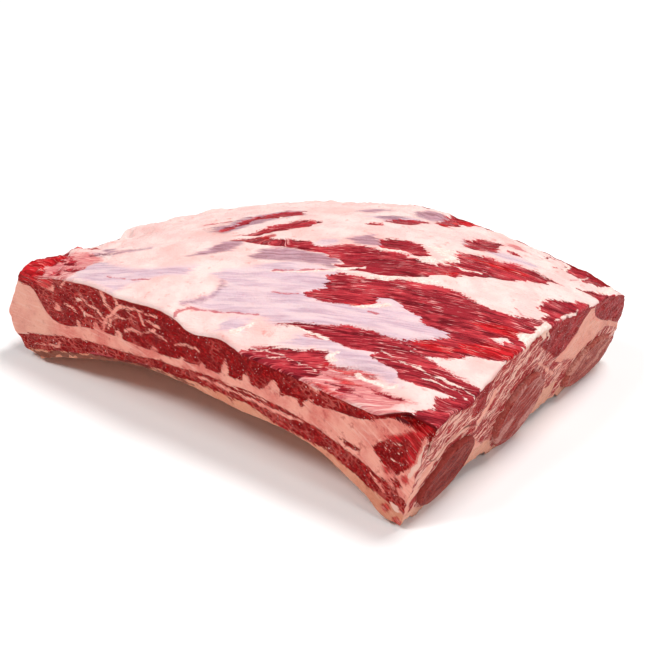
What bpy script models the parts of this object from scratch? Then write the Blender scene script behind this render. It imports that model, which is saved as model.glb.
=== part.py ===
"""Raw beef short ribs: a square-cut slab of three ribs with the meat on them, arched along the bones.

The slab is drawn straight and then bent over a large circle. A place in the straight slab is
u, from 0 at the left cut to 1 at the right cut, v, from 0 at the front cut to 1 at the back edge,
and a height in millimetres above the curved underside. From below, the layers are a pale membrane,
the rib meat with the three bones in it, a seam of fat, and the thick upper meat.
"""

import math

import bpy
import numpy as np

MM = 0.001

# Driving sizes in millimetres
ARCH_RADIUS = 390.0
SLAB_LENGTH = 255.0
SLAB_WIDTH = 211.0
ARCH_LIFT = 8.4
CENTRE_SHIFT = 5.7
LAYER_GAP = 0.3
LEAST_LAYER = 2.6
EDGE_FADE = 0.13
CORNER_TAPER = 10.0
CORNER_RUN = 0.14
BACK_EDGE_POWER = 8

# Cut ends and back edge: (height, place), in millimetres
LEFT_CUT = ((-12, -128), (-5, -134), (0, -140), (5, -149), (17, -152), (29, -150.5), (42, -140),
            (60, -124))
RIGHT_CUT = ((-12, 130.5), (0, 131), (30, 129), (60, 126.5), (75, 125.5))
BACK_EDGE = ((-12, 202), (0, 208), (10, 211), (30, 211), (42, 205), (50, 199))

# Front cut: (place along the bones, height) of each layer's edge, left to right
FRONT_UNDERSIDE = ((-137, -2), (-91, 0), (-41, 3), (3, 1), (24, 0.5), (75, 4.5), (98, -0.5), (109, -3),
                   (121, -7.2), (131, -4.5))
FRONT_MEMBRANE = ((-149, 6), (-130, 3.5), (-52, 4.7), (27, 7), (52, 5.5), (80, 8.5), (110, 3.5),
                  (131, 2))
FRONT_RIB_MEAT = ((-150, 14), (-117, 12.5), (-60, 9), (-14, 10.5), (31, 15), (67, 16), (106, 14),
                  (131, 10))
FRONT_SEAM = ((-134, 47.5), (-116, 41), (-98, 22), (-72, 20), (-30, 15.4), (0, 16), (42, 22), (74, 31),
              (99, 41), (108, 51), (128, 55))
FRONT_TOP = ((-128, 52), (-97, 51), (-65, 47.5), (-50, 44), (-15, 43), (0, 37), (15, 40), (30, 37.5),
             (60, 40.5), (98, 47), (110, 52.5), (127, 58))

# Right cut: (place across the bones, height) of each layer's edge, front to back
RIGHT_UNDERSIDE = ((0, -4.5), (9, -1.5), (30, -3), (62, 1), (90, -3), (135, -3), (170, -4), (211, 0))
RIGHT_MEMBRANE = ((0, 2), (25, 4), (62, 10), (90, 8), (129, 14), (160, 6), (211, 3))
RIGHT_RIB_MEAT = ((0, 10), (14, 24), (40, 33), (60, 27), (75, 34), (98, 40), (128, 33), (158, 22),
                  (188, 28), (211, 17))
RIGHT_SEAM = ((0, 55), (7, 36), (25, 37), (60, 31), (98, 48), (130, 37.5), (148, 45), (158, 57), (170, 45),
              (190, 32), (211, 21))
RIGHT_TOP = ((0, 58), (22, 61), (36, 59.5), (63, 67), (98, 71), (129, 66), (157, 60), (185, 56),
             (211, 48))

# Heights at stations inside the slab: a row for each place along the bones, left to right
ALONG = (-127.5, -64, 0, 64, 127.5)
ACROSS = (0, 30, 65, 97, 135, 160, 185, 211)
UNDERSIDE_NET = ((-2, -2, 0, -2, 0, -1, -1, 1), (1, 0, 3, 0, 3, 2, 0, 2), (1, 0, 3, 0, 4, 2, 0, 2),
                 (3, 0, 3, 0, 3, 2, 0, 2), (-5, -3, 1, -3, -3, -3, -4, 0))
MEMBRANE_NET = ((6, 3, 5, 3, 6, 4, 3, 4), (4, 4, 7, 4, 8, 5, 4, 5), (5, 4, 7, 4, 9, 6, 4, 5),
                (7, 5, 8, 5, 10, 7, 4, 5), (2, 5, 10, 8, 14, 6, 4, 3))
RIB_MEAT_NET = ((14, 16, 14, 16, 13, 15, 15, 12), (10, 14, 13, 14, 12, 14, 14, 11),
                (11, 15, 14, 16, 13, 14, 15, 12), (16, 20, 17, 20, 18, 16, 18, 14),
                (10, 30, 28, 40, 31, 22, 28, 17))
SEAM_NET = ((47.5, 40, 37, 32, 27, 24, 22, 16), (20, 28, 31, 34, 30, 28, 25, 17),
            (16, 28, 33, 37, 34, 31, 28, 22), (28, 33, 35, 40, 37, 35, 32, 24),
            (55, 37, 32, 48, 39, 57, 35, 21))
TOP_NET = ((52, 52, 46.5, 44, 39, 33, 28, 20), (48, 51.5, 52, 51, 46, 40, 33, 23),
           (38, 49, 54.5, 57, 54.5, 50, 44, 34), (42, 54, 62, 65, 62, 57, 50, 39),
           (58, 61, 67.5, 71, 65.5, 60, 56, 48))

# Lumps and hollows of the upper face: along, across, half length, half width, rise
TOP_LUMPS = ((-128, 6, 16, 9, 4), (-108, 30, 22, 9, 2.5), (-30, 22, 34, 20, 1.5), (-82, 34, 26, 12, -1.5),
             (12, 64, 22, 10, 1.5), (20, 88, 45, 7, -1.8), (72, 97, 30, 6, 1.8), (82, 14, 20, 4.5, -3),
             (112, 56, 16, 9, 2.2), (122, 26, 9, 10, -3), (70, 55, 30, 8, -1.6), (10, 205, 18, 9, 3.5),
             (95, 150, 30, 9, 1.8), (60, 165, 14, 14, -2), (110, 196, 22, 9, -1.5))
FIBRE_ANGLE = math.radians(27)
FIBRE_PITCH = 23.0
FIBRE_RELIEF = 0.5

# Bones, front to back: centre across, centre height, half width, half height and lean,
# at the left cut, the middle, three quarters along and the right cut
RIB_STATIONS = (0.0, 0.5, 0.78, 1.0)
RIBS = (
    {"across": (36, 35, 34, 31), "height": (9.8, 9.5, 10.5, 14.5), "width": (18, 18, 18.5, 20),
     "thick": (9.5, 10, 11.5, 17), "lean": (0.1, 0.1, 0.2, 0.35), "proud": 2.5},
    {"across": (98, 97, 97, 97), "height": (9.5, 10, 12, 18.5), "width": (18, 18, 19, 21),
     "thick": (9.5, 10.5, 13, 23), "lean": (0, 0, 0, 0.05), "proud": 3},
    {"across": (168, 170, 174, 178), "height": (9, 9.2, 9.5, 9.5), "width": (19, 19, 21, 25),
     "thick": (9, 9.5, 11, 14.5), "lean": (0, 0, 0, 0), "proud": 2.5},
)
SECTION_KEYS = ("across", "height", "width", "thick", "lean")
RIB_SIDES = 14
MEAT_OVER_RIB = 3.0
MEAT_UNDER_RIB = 2.0
MEMBRANE_UNDER_RIB = 1.6

# Near both cuts the membrane under each bone sags on to the floor, which flattens it
PAD_DEPTH = 4.4
PAD_START = 0.09
PAD_RUN = 0.05

LEFT_PROUD = 1.5
CUTTER_OVERRUN = 14.0

# The upper meat is set back behind the ledge of fat at the near right corner, with a gap under it
LEDGE_START = 0.9
LEDGE_RUN = 0.05
LEDGE_DEPTH = 6.0
LEDGE_GAP = 3.6
LEDGE_FADE_POWER = 4

# Mesh cells along and across, and how much closer the lines lie near the edges
CELLS_ALONG = 18
CELLS_ACROSS = 20
CROWD_ALONG = 0.4
CROWD_ACROSS = 0.15
WALL_ROWS = 2
SMOOTH_ANGLE = math.radians(42)

# Finishes: colours, and how rough the wet meat and the sawn bone are
COLOURS = {
    "upper_meat": (0.32, 0.035, 0.045),
    "fat_seam": (0.80, 0.42, 0.34),
    "rib_meat": (0.26, 0.02, 0.025),
    "membrane": (0.68, 0.36, 0.25),
    "rib_bone": (0.30, 0.09, 0.08),
}
MEAT_ROUGHNESS = 0.35
BONE_ROUGHNESS = 0.45


def smooth(x, y, at):
    """A smooth curve through the points (x, y), read at the places in at.

    y is either one curve's heights or a row of heights for each x, with a column for each place.
    """
    x = np.asarray(x, float)
    y = np.asarray(y, float)
    at = np.clip(at, x[0], x[-1])
    i = np.clip(np.searchsorted(x, at, side="right") - 1, 0, len(x) - 2)
    width = x[i + 1] - x[i]
    k = (at - x[i]) / width
    steps = np.diff(y, axis=0) / np.diff(x).reshape((-1,) + (1,) * (y.ndim - 1))
    slope = np.concatenate([steps[:1], (steps[1:] + steps[:-1]) / 2, steps[-1:]])
    column = (np.arange(len(at)),) if y.ndim > 1 else ()
    before, after = y[(i, *column)], y[(i + 1, *column)]
    start = slope[(i, *column)] * width * k * (1 - k) ** 2
    end = slope[(i + 1, *column)] * width * k ** 2 * (k - 1)
    return before + (after - before) * k ** 2 * (3 - 2 * k) + start + end


def along_points(points, share):
    """A curve's height at a share, 0 to 1, of its run from its first point to its last."""
    x, y = np.array(points, float).T
    return smooth(x, y, x[0] + share * (x[-1] - x[0]))


def ease(x):
    """From 0 to 1 with level ends."""
    x = np.clip(x, 0, 1)
    return x * x * (3 - 2 * x)


def net_height(net, u, v):
    """The height of a net of stations at the places u, v."""
    s = (u - 0.5) * SLAB_LENGTH
    t = v * SLAB_WIDTH
    return smooth(ALONG, [smooth(ACROSS, row, t) for row in net], s)


def sheet_height(net, front, right, u, v):
    """The height of a net whose edges at the front cut and the right cut follow the given curves."""
    near_front = 1 - ease(v / EDGE_FADE)
    near_right = 1 - ease((1 - u) / EDGE_FADE)
    front_change = along_points(front, u) - net_height(net, u, 0 * v)
    right_change = along_points(right, v) - net_height(net, 0 * u + 1, v)
    corner_change = along_points(right, 0 * v) - net_height(net, 0 * u + 1, 0 * v)
    change = near_front * front_change + near_right * right_change
    return net_height(net, u, v) + change - near_front * near_right * corner_change


def cut_place(points, height):
    x, y = np.array(points, float).T
    return np.interp(height, x, y)


def along_place(u, height, left_proud=0.0, right_proud=0.0):
    """Where u and a height lie along the bones, between the left and right cuts."""
    left = cut_place(LEFT_CUT, height) - left_proud
    right = cut_place(RIGHT_CUT, height) + right_proud
    return left + u * (right - left)


def across_place(u, v, height):
    """Where v and a height lie across the bones; only the stretch near the back edge is drawn in."""
    drawn_in = SLAB_WIDTH - cut_place(BACK_EDGE, height) + CORNER_TAPER * (1 - ease(u / CORNER_RUN))
    return v * SLAB_WIDTH - drawn_in * v ** BACK_EDGE_POWER


def rib_section(rib, u):
    """A bone's section at u, by name."""
    return {key: smooth(RIB_STATIONS, rib[key], u) for key in SECTION_KEYS}


def rib_envelope(rib, u, v, cover, side):
    """The height of a bone's top (side 1) or bottom (side -1) with a cover round it, or nan beside it."""
    section = rib_section(rib, u)
    x = across_place(u, v, section["height"]) - section["across"]
    a = section["width"] + cover
    b = section["thick"] + cover
    lean = section["lean"]
    square = lean ** 2 / a ** 2 + 1 / b ** 2
    half = x * lean / a ** 2
    inside = half ** 2 - square * (x ** 2 / a ** 2 - 1)
    root = np.sqrt(np.where(inside > 0, inside, np.nan))
    return section["height"] + (half + side * root) / square


def underside(u, v):
    height = sheet_height(UNDERSIDE_NET, FRONT_UNDERSIDE, RIGHT_UNDERSIDE, u, v)
    pad = PAD_DEPTH * ease((PAD_START - np.minimum(u, 1 - u)) / PAD_RUN)
    for rib in RIBS:
        height = np.fmin(height, rib_envelope(rib, u, v, MEAT_UNDER_RIB + MEMBRANE_UNDER_RIB, -1) - pad)
    return height


def membrane_top(u, v):
    height = sheet_height(MEMBRANE_NET, FRONT_MEMBRANE, RIGHT_MEMBRANE, u, v)
    for rib in RIBS:
        height = np.fmin(height, rib_envelope(rib, u, v, MEAT_UNDER_RIB, -1))
    return np.maximum(height, underside(u, v) + MEMBRANE_UNDER_RIB)


def rib_meat_top(u, v):
    height = sheet_height(RIB_MEAT_NET, FRONT_RIB_MEAT, RIGHT_RIB_MEAT, u, v)
    for rib in RIBS:
        height = np.fmax(height, rib_envelope(rib, u, v, MEAT_OVER_RIB, 1))
    return height


def seam_top(u, v):
    height = sheet_height(SEAM_NET, FRONT_SEAM, RIGHT_SEAM, u, v)
    return np.maximum(height, rib_meat_top(u, v) + LEAST_LAYER)


def upper_face(u, v):
    """The upper face, with its lumps and the long low waves of the muscle."""
    s = (u - 0.5) * SLAB_LENGTH
    t = v * SLAB_WIDTH
    height = sheet_height(TOP_NET, FRONT_TOP, RIGHT_TOP, u, v)
    for along, across, half_length, half_width, rise in TOP_LUMPS:
        run = (s - along) * math.cos(FIBRE_ANGLE) + (t - across) * math.sin(FIBRE_ANGLE)
        side = (t - across) * math.cos(FIBRE_ANGLE) - (s - along) * math.sin(FIBRE_ANGLE)
        height = height + rise * np.exp(-(run / half_length) ** 2 - (side / half_width) ** 2)
    turn = (t * math.cos(FIBRE_ANGLE) - s * math.sin(FIBRE_ANGLE)) * 2 * math.pi / FIBRE_PITCH
    height = height + FIBRE_RELIEF * np.sin(turn) * ease(v / EDGE_FADE)
    return np.maximum(height, seam_top(u, v) + LAYER_GAP + LEAST_LAYER)


def bend(s, t, height):
    """Bends places of the straight slab over the arch and rests them on the floor, in metres."""
    reach = ARCH_RADIUS + height
    x = reach * np.sin(s / ARCH_RADIUS) + CENTRE_SHIFT
    z = reach * np.cos(s / ARCH_RADIUS) - ARCH_RADIUS * math.cos(SLAB_LENGTH / 2 / ARCH_RADIUS) + ARCH_LIFT
    return np.stack([x, t - SLAB_WIDTH / 2, np.maximum(z, 0)], -1) * MM


def ledge_share(u, v):
    """From 1 at the ledge of fat at the near right corner to 0 away from it."""
    return ease((u - LEDGE_START) / LEDGE_RUN) * (1 - v) ** LEDGE_FADE_POWER


def behind_ledge(u, v):
    """v of the upper meat, which starts behind the ledge."""
    return v + ledge_share(u, v) * LEDGE_DEPTH / SLAB_WIDTH


def upper_meat_base(u, v):
    return seam_top(u, v) + LAYER_GAP + LEDGE_GAP * ledge_share(u, v)


def spaced(count, crowding):
    """Even steps from 0 to 1, drawn closer near both ends."""
    x = np.linspace(0, 1, count + 1)
    return x - crowding * np.sin(2 * math.pi * x) / (2 * math.pi)


def halved(lines):
    """The lines with one more in the middle of each cell."""
    middles = (lines[1:] + lines[:-1]) / 2
    return np.sort(np.concatenate([lines, middles]))


def border(columns, rows):
    """The grid places round a sheet's border, anticlockwise seen from above."""
    front = [(i, 0) for i in range(columns)]
    right = [(columns, j) for j in range(rows)]
    back = [(i, rows) for i in range(columns, 0, -1)]
    left = [(0, j) for j in range(rows, 0, -1)]
    return front + right + back + left


class Layer:
    """One layer of the slab: a lower sheet, an upper sheet and the walls between them."""

    def __init__(self, lower, upper, fine_top=False, moved_v=None):
        self.lower = lower
        self.upper = upper
        self.fine_top = fine_top
        self.moved_v = moved_v
        self.points = []
        self.faces = []

    def places(self, u, v):
        return (u, self.moved_v(u, v)) if self.moved_v else (u, v)

    def add(self, u, v, height):
        first = len(self.points)
        bent = bend(along_place(u, height), across_place(u, v, height), height)
        self.points.extend(bent.tolist())
        return first

    def sheet(self, surface, u_lines, v_lines, faces_up):
        """A grid of points on one surface; returns the point number at a grid place."""
        u, v = self.places(*(grid.ravel() for grid in np.meshgrid(u_lines, v_lines, indexing="ij")))
        first = self.add(u, v, surface(u, v))
        across = len(v_lines)
        for i in range(len(u_lines) - 1):
            for j in range(across - 1):
                corner = first + i * across + j
                beside, ahead = corner + 1, corner + across
                if faces_up:
                    self.faces.append((corner, ahead, ahead + 1, beside))
                else:
                    self.faces.append((corner, beside, ahead + 1, ahead))
        return lambda place: first + place[0] * across + place[1]

    def band(self, lower, upper):
        """Faces between a lower loop and an upper loop with as many or twice as many points."""
        step = len(upper) // len(lower)
        count = len(upper)
        for i in range(len(lower)):
            top = [upper[(i * step + k) % count] for k in range(step, -1, -1)]
            self.faces.append((lower[i], lower[(i + 1) % len(lower)], *top))

    def build(self):
        u_lines = spaced(CELLS_ALONG, CROWD_ALONG)
        v_lines = spaced(CELLS_ACROSS, CROWD_ACROSS)
        low = self.sheet(self.lower, u_lines, v_lines, False)
        loop = [low(place) for place in border(CELLS_ALONG, CELLS_ACROSS)]
        columns, rows = CELLS_ALONG, CELLS_ACROSS
        if self.fine_top:
            u_lines, v_lines = halved(u_lines), halved(v_lines)
            columns, rows = 2 * columns, 2 * rows
        places = border(columns, rows)
        u, v = self.places(*np.array([(u_lines[i], v_lines[j]) for i, j in places]).T)
        bottom, top = self.lower(u, v), self.upper(u, v)
        for row in range(1, WALL_ROWS + 1):
            share = row / (WALL_ROWS + 1)
            first = self.add(u, v, bottom + share * (top - bottom))
            ring = list(range(first, first + len(places)))
            self.band(loop, ring)
            loop = ring
        high = self.sheet(self.upper, u_lines, v_lines, True)
        self.band(loop, [high(place) for place in places])
        return self.points, self.faces


def rib_rings(rib, grow=0.0, overrun=0.0):
    """Points and faces of one bone: rings along the slab, closed by a cap at each end."""
    stations = [(u, 0.0) for u in spaced(CELLS_ALONG, CROWD_ALONG)]
    if overrun:
        stations = [(0.0, -overrun), *stations, (1.0, overrun)]
    turn = np.arange(RIB_SIDES) * 2 * math.pi / RIB_SIDES
    points = []
    for u, beyond in stations:
        section = rib_section(rib, u)
        rise = (section["thick"] + grow) * np.sin(turn)
        side = (section["width"] + grow) * np.cos(turn) + section["lean"] * rise
        height = section["height"] + rise
        s = along_place(u, height, LEFT_PROUD, rib["proud"]) + beyond
        points.extend(bend(s, section["across"] + side, height).tolist())
    faces = []
    for ring in range(len(stations) - 1):
        for k in range(RIB_SIDES):
            a = ring * RIB_SIDES + k
            b = ring * RIB_SIDES + (k + 1) % RIB_SIDES
            faces.append((b, b + RIB_SIDES, a + RIB_SIDES, a))
    last = (len(stations) - 1) * RIB_SIDES
    faces.append(tuple(range(RIB_SIDES - 1, -1, -1)))
    faces.append(tuple(range(last, last + RIB_SIDES)))
    return points, faces


def clear_scene():
    for item in list(bpy.data.objects):
        bpy.data.objects.remove(item)


def material(name, colour, roughness):
    made = bpy.data.materials.new(name)
    made.use_nodes = True
    shader = made.node_tree.nodes["Principled BSDF"]
    shader.inputs["Base Color"].default_value = (*colour, 1)
    shader.inputs["Roughness"].default_value = roughness
    shader.inputs["Metallic"].default_value = 0
    return made


def mesh_object(name, points, faces, finish=None):
    mesh = bpy.data.meshes.new(name)
    mesh.from_pydata(points, [], faces)
    mesh.shade_smooth()
    mesh.set_sharp_from_angle(angle=SMOOTH_ANGLE)
    made = bpy.data.objects.new(name, mesh)
    bpy.context.scene.collection.objects.link(made)
    if finish is not None:
        mesh.materials.append(finish)
    split = made.modifiers.new("triangles", "TRIANGULATE")
    split.quad_method = "FIXED"
    return made


def raised(surface):
    """The same surface, lifted by the gap between two layers."""
    return lambda u, v: surface(u, v) + LAYER_GAP


def make_layers():
    layers = {
        "membrane": Layer(underside, membrane_top),
        "rib_meat": Layer(raised(membrane_top), rib_meat_top),
        "fat_seam": Layer(raised(rib_meat_top), seam_top),
        "upper_meat": Layer(upper_meat_base, upper_face, fine_top=True, moved_v=behind_ledge),
    }
    made = {}
    for name, layer in layers.items():
        points, faces = layer.build()
        made[name] = mesh_object(name, points, faces, material(name, COLOURS[name], MEAT_ROUGHNESS))
    return made


def make_ribs(rib_meat):
    """The three bones, each in its own tunnel through the rib meat."""
    finish = material("rib_bone", COLOURS["rib_bone"], BONE_ROUGHNESS)
    for number, rib in enumerate(RIBS, start=1):
        mesh_object(f"rib_bone_{number}", *rib_rings(rib), finish)
        cutter = mesh_object(f"rib_cutter_{number}", *rib_rings(rib, LAYER_GAP, CUTTER_OVERRUN))
        cutter.hide_render = True
        cutter.display_type = "WIRE"
        tunnel = rib_meat.modifiers.new(f"tunnel_{number}", "BOOLEAN")
        tunnel.operation = "DIFFERENCE"
        tunnel.object = cutter


clear_scene()
layers_made = make_layers()
make_ribs(layers_made["rib_meat"])
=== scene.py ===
"""The looks of the raw beef short ribs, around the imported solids.

Every layer of the slab is drawn again as a fine mesh of the same form: straight first, with places
s along the bones from the middle, t across them from the front cut and a height, all in
millimetres, and then bent over the arch. Outlines drawn on the top and on the cut faces say where
the meat, silverskin and torn fibres lie; the materials turn them into ragged, streaked edges.
"""

import math

import bpy
import numpy as np
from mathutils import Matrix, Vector


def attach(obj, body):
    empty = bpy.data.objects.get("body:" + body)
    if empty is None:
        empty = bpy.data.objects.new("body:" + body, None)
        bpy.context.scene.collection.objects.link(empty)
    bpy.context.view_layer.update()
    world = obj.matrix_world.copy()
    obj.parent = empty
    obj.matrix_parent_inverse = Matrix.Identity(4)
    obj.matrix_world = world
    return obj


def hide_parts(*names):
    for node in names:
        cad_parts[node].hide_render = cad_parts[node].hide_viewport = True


MM = 0.001

# The slab, as in the solids
ARCH_RADIUS = 390.0
SLAB_LENGTH = 255.0
SLAB_WIDTH = 211.0
ARCH_LIFT = 8.4
CENTRE_SHIFT = 5.7
LEAST_LAYER = 2.6
EDGE_FADE = 0.13
CORNER_TAPER = 10.0
CORNER_RUN = 0.14
BACK_EDGE_POWER = 8

# Cut ends and back edge: (height, place)
LEFT_CUT = ((-12, -128), (-5, -134), (0, -140), (5, -149), (17, -152), (29, -150.5), (42, -140),
            (60, -124))
RIGHT_CUT = ((-12, 130.5), (0, 131), (30, 129), (60, 126.5), (75, 125.5))
BACK_EDGE = ((-12, 202), (0, 208), (10, 211), (30, 211), (42, 205), (50, 199))

# Front cut: (place along the bones, height) of each layer's edge, left to right
FRONT_UNDERSIDE = ((-137, -2), (-91, 0), (-41, 3), (3, 1), (24, 0.5), (75, 4.5), (98, -0.5), (109, -3),
                   (121, -7.2), (131, -4.5))
FRONT_MEMBRANE = ((-149, 6), (-130, 3.5), (-52, 4.7), (27, 7), (52, 5.5), (80, 8.5), (110, 3.5),
                  (131, 2))
FRONT_RIB_MEAT = ((-150, 14), (-117, 12.5), (-60, 9), (-14, 10.5), (31, 15), (67, 16), (106, 14),
                  (131, 10))
FRONT_SEAM = ((-134, 47.5), (-116, 41), (-98, 22), (-72, 20), (-30, 15.4), (0, 16), (42, 22), (74, 31),
              (99, 41), (108, 51), (128, 55))
FRONT_TOP = ((-128, 52), (-97, 51), (-65, 47.5), (-50, 44), (-15, 43), (0, 37), (15, 40), (30, 37.5),
             (60, 40.5), (98, 47), (110, 52.5), (127, 58))

# Right cut: (place across the bones, height) of each layer's edge, front to back
RIGHT_UNDERSIDE = ((0, -4.5), (9, -1.5), (30, -3), (62, 1), (90, -3), (135, -3), (170, -4), (211, 0))
RIGHT_MEMBRANE = ((0, 2), (25, 4), (62, 10), (90, 8), (129, 14), (160, 6), (211, 3))
RIGHT_RIB_MEAT = ((0, 10), (14, 24), (40, 33), (60, 27), (75, 34), (98, 40), (128, 33), (158, 22),
                  (188, 28), (211, 17))
RIGHT_SEAM = ((0, 55), (7, 36), (25, 37), (60, 31), (98, 48), (130, 37.5), (148, 45), (158, 57),
              (170, 45), (190, 32), (211, 21))
RIGHT_TOP = ((0, 58), (22, 61), (36, 59.5), (63, 67), (98, 71), (129, 66), (157, 60), (185, 56),
             (211, 48))

# Heights at stations inside the slab: a row for each place along the bones, left to right
ALONG = (-127.5, -64, 0, 64, 127.5)
ACROSS = (0, 30, 65, 97, 135, 160, 185, 211)
UNDERSIDE_NET = ((-2, -2, 0, -2, 0, -1, -1, 1), (1, 0, 3, 0, 3, 2, 0, 2), (1, 0, 3, 0, 4, 2, 0, 2),
                 (3, 0, 3, 0, 3, 2, 0, 2), (-5, -3, 1, -3, -3, -3, -4, 0))
MEMBRANE_NET = ((6, 3, 5, 3, 6, 4, 3, 4), (4, 4, 7, 4, 8, 5, 4, 5), (5, 4, 7, 4, 9, 6, 4, 5),
                (7, 5, 8, 5, 10, 7, 4, 5), (2, 5, 10, 8, 14, 6, 4, 3))
RIB_MEAT_NET = ((14, 16, 14, 16, 13, 15, 15, 12), (10, 14, 13, 14, 12, 14, 14, 11),
                (11, 15, 14, 16, 13, 14, 15, 12), (16, 20, 17, 20, 18, 16, 18, 14),
                (10, 30, 28, 40, 31, 22, 28, 17))
SEAM_NET = ((47.5, 40, 37, 32, 27, 24, 22, 16), (20, 28, 31, 34, 30, 28, 25, 17),
            (16, 28, 33, 37, 34, 31, 28, 22), (28, 33, 35, 40, 37, 35, 32, 24),
            (55, 37, 32, 48, 39, 57, 35, 21))
TOP_NET = ((52, 52, 46.5, 44, 39, 33, 28, 20), (48, 51.5, 52, 51, 46, 40, 33, 23),
           (38, 49, 54.5, 57, 54.5, 50, 44, 34), (42, 54, 62, 65, 62, 57, 50, 39),
           (58, 61, 67.5, 71, 65.5, 60, 56, 48))

# Lumps and hollows of the upper face: along, across, half length, half width, rise
TOP_LUMPS = ((-128, 6, 16, 9, 4), (-108, 30, 22, 9, 2.5), (-30, 22, 34, 20, 1.5),
             (-82, 34, 26, 12, -1.5), (12, 64, 22, 10, 1.5), (20, 88, 45, 7, -1.8),
             (72, 97, 30, 6, 1.8), (82, 14, 20, 4.5, -3),
             (112, 56, 16, 9, 2.2), (122, 26, 9, 10, -3), (70, 55, 30, 8, -1.6), (10, 205, 18, 9, 3.5),
             (95, 150, 30, 9, 1.8), (60, 165, 14, 14, -2), (110, 196, 22, 9, -1.5))
FIBRE_ANGLE = math.radians(27)
FIBRE_PITCH = 23.0
FIBRE_RELIEF = 0.5

# Bones, front to back, at the left cut, the middle, three quarters along and the right cut
RIB_STATIONS = (0.0, 0.5, 0.78, 1.0)
RIBS = (
    {"across": (36, 35, 34, 31), "height": (9.8, 9.5, 10.5, 14.5), "width": (18, 18, 18.5, 20),
     "thick": (9.5, 10, 11.5, 17), "lean": (0.1, 0.1, 0.2, 0.35), "proud": 2.5},
    {"across": (98, 97, 97, 97), "height": (9.5, 10, 12, 18.5), "width": (18, 18, 19, 21),
     "thick": (9.5, 10.5, 13, 23), "lean": (0, 0, 0, 0.05), "proud": 3},
    {"across": (168, 170, 174, 178), "height": (9, 9.2, 9.5, 9.5), "width": (19, 19, 21, 25),
     "thick": (9, 9.5, 11, 14.5), "lean": (0, 0, 0, 0), "proud": 2.5},
)
RIB_SECTION = ("across", "height", "width", "thick", "lean")
MEAT_OVER_RIB = 3.0
MEAT_UNDER_RIB = 2.0
MEMBRANE_UNDER_RIB = 1.6
PAD_DEPTH = 4.4
PAD_START = 0.09
PAD_RUN = 0.05
LEFT_PROUD = 1.5
LEDGE_START = 0.9
LEDGE_RUN = 0.05
LEDGE_FADE_POWER = 4
LEDGE_DEPTH = 6.0
LEDGE_GAP = 1.2

# Meshes: cells along and across, how many share one cell of a hidden sheet, and rows up the walls
CELLS_ALONG = 256
CELLS_ACROSS = 212
HIDDEN_SHARE = 4
EDGE_CELLS = 6
EDGE_RUN = 0.012
EDGE_CROWDING = 1.5
WALL_CROWDING = 0.85
TOP_ROUND = 2.0
SMOOTH_ANGLE = math.radians(70)

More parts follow.
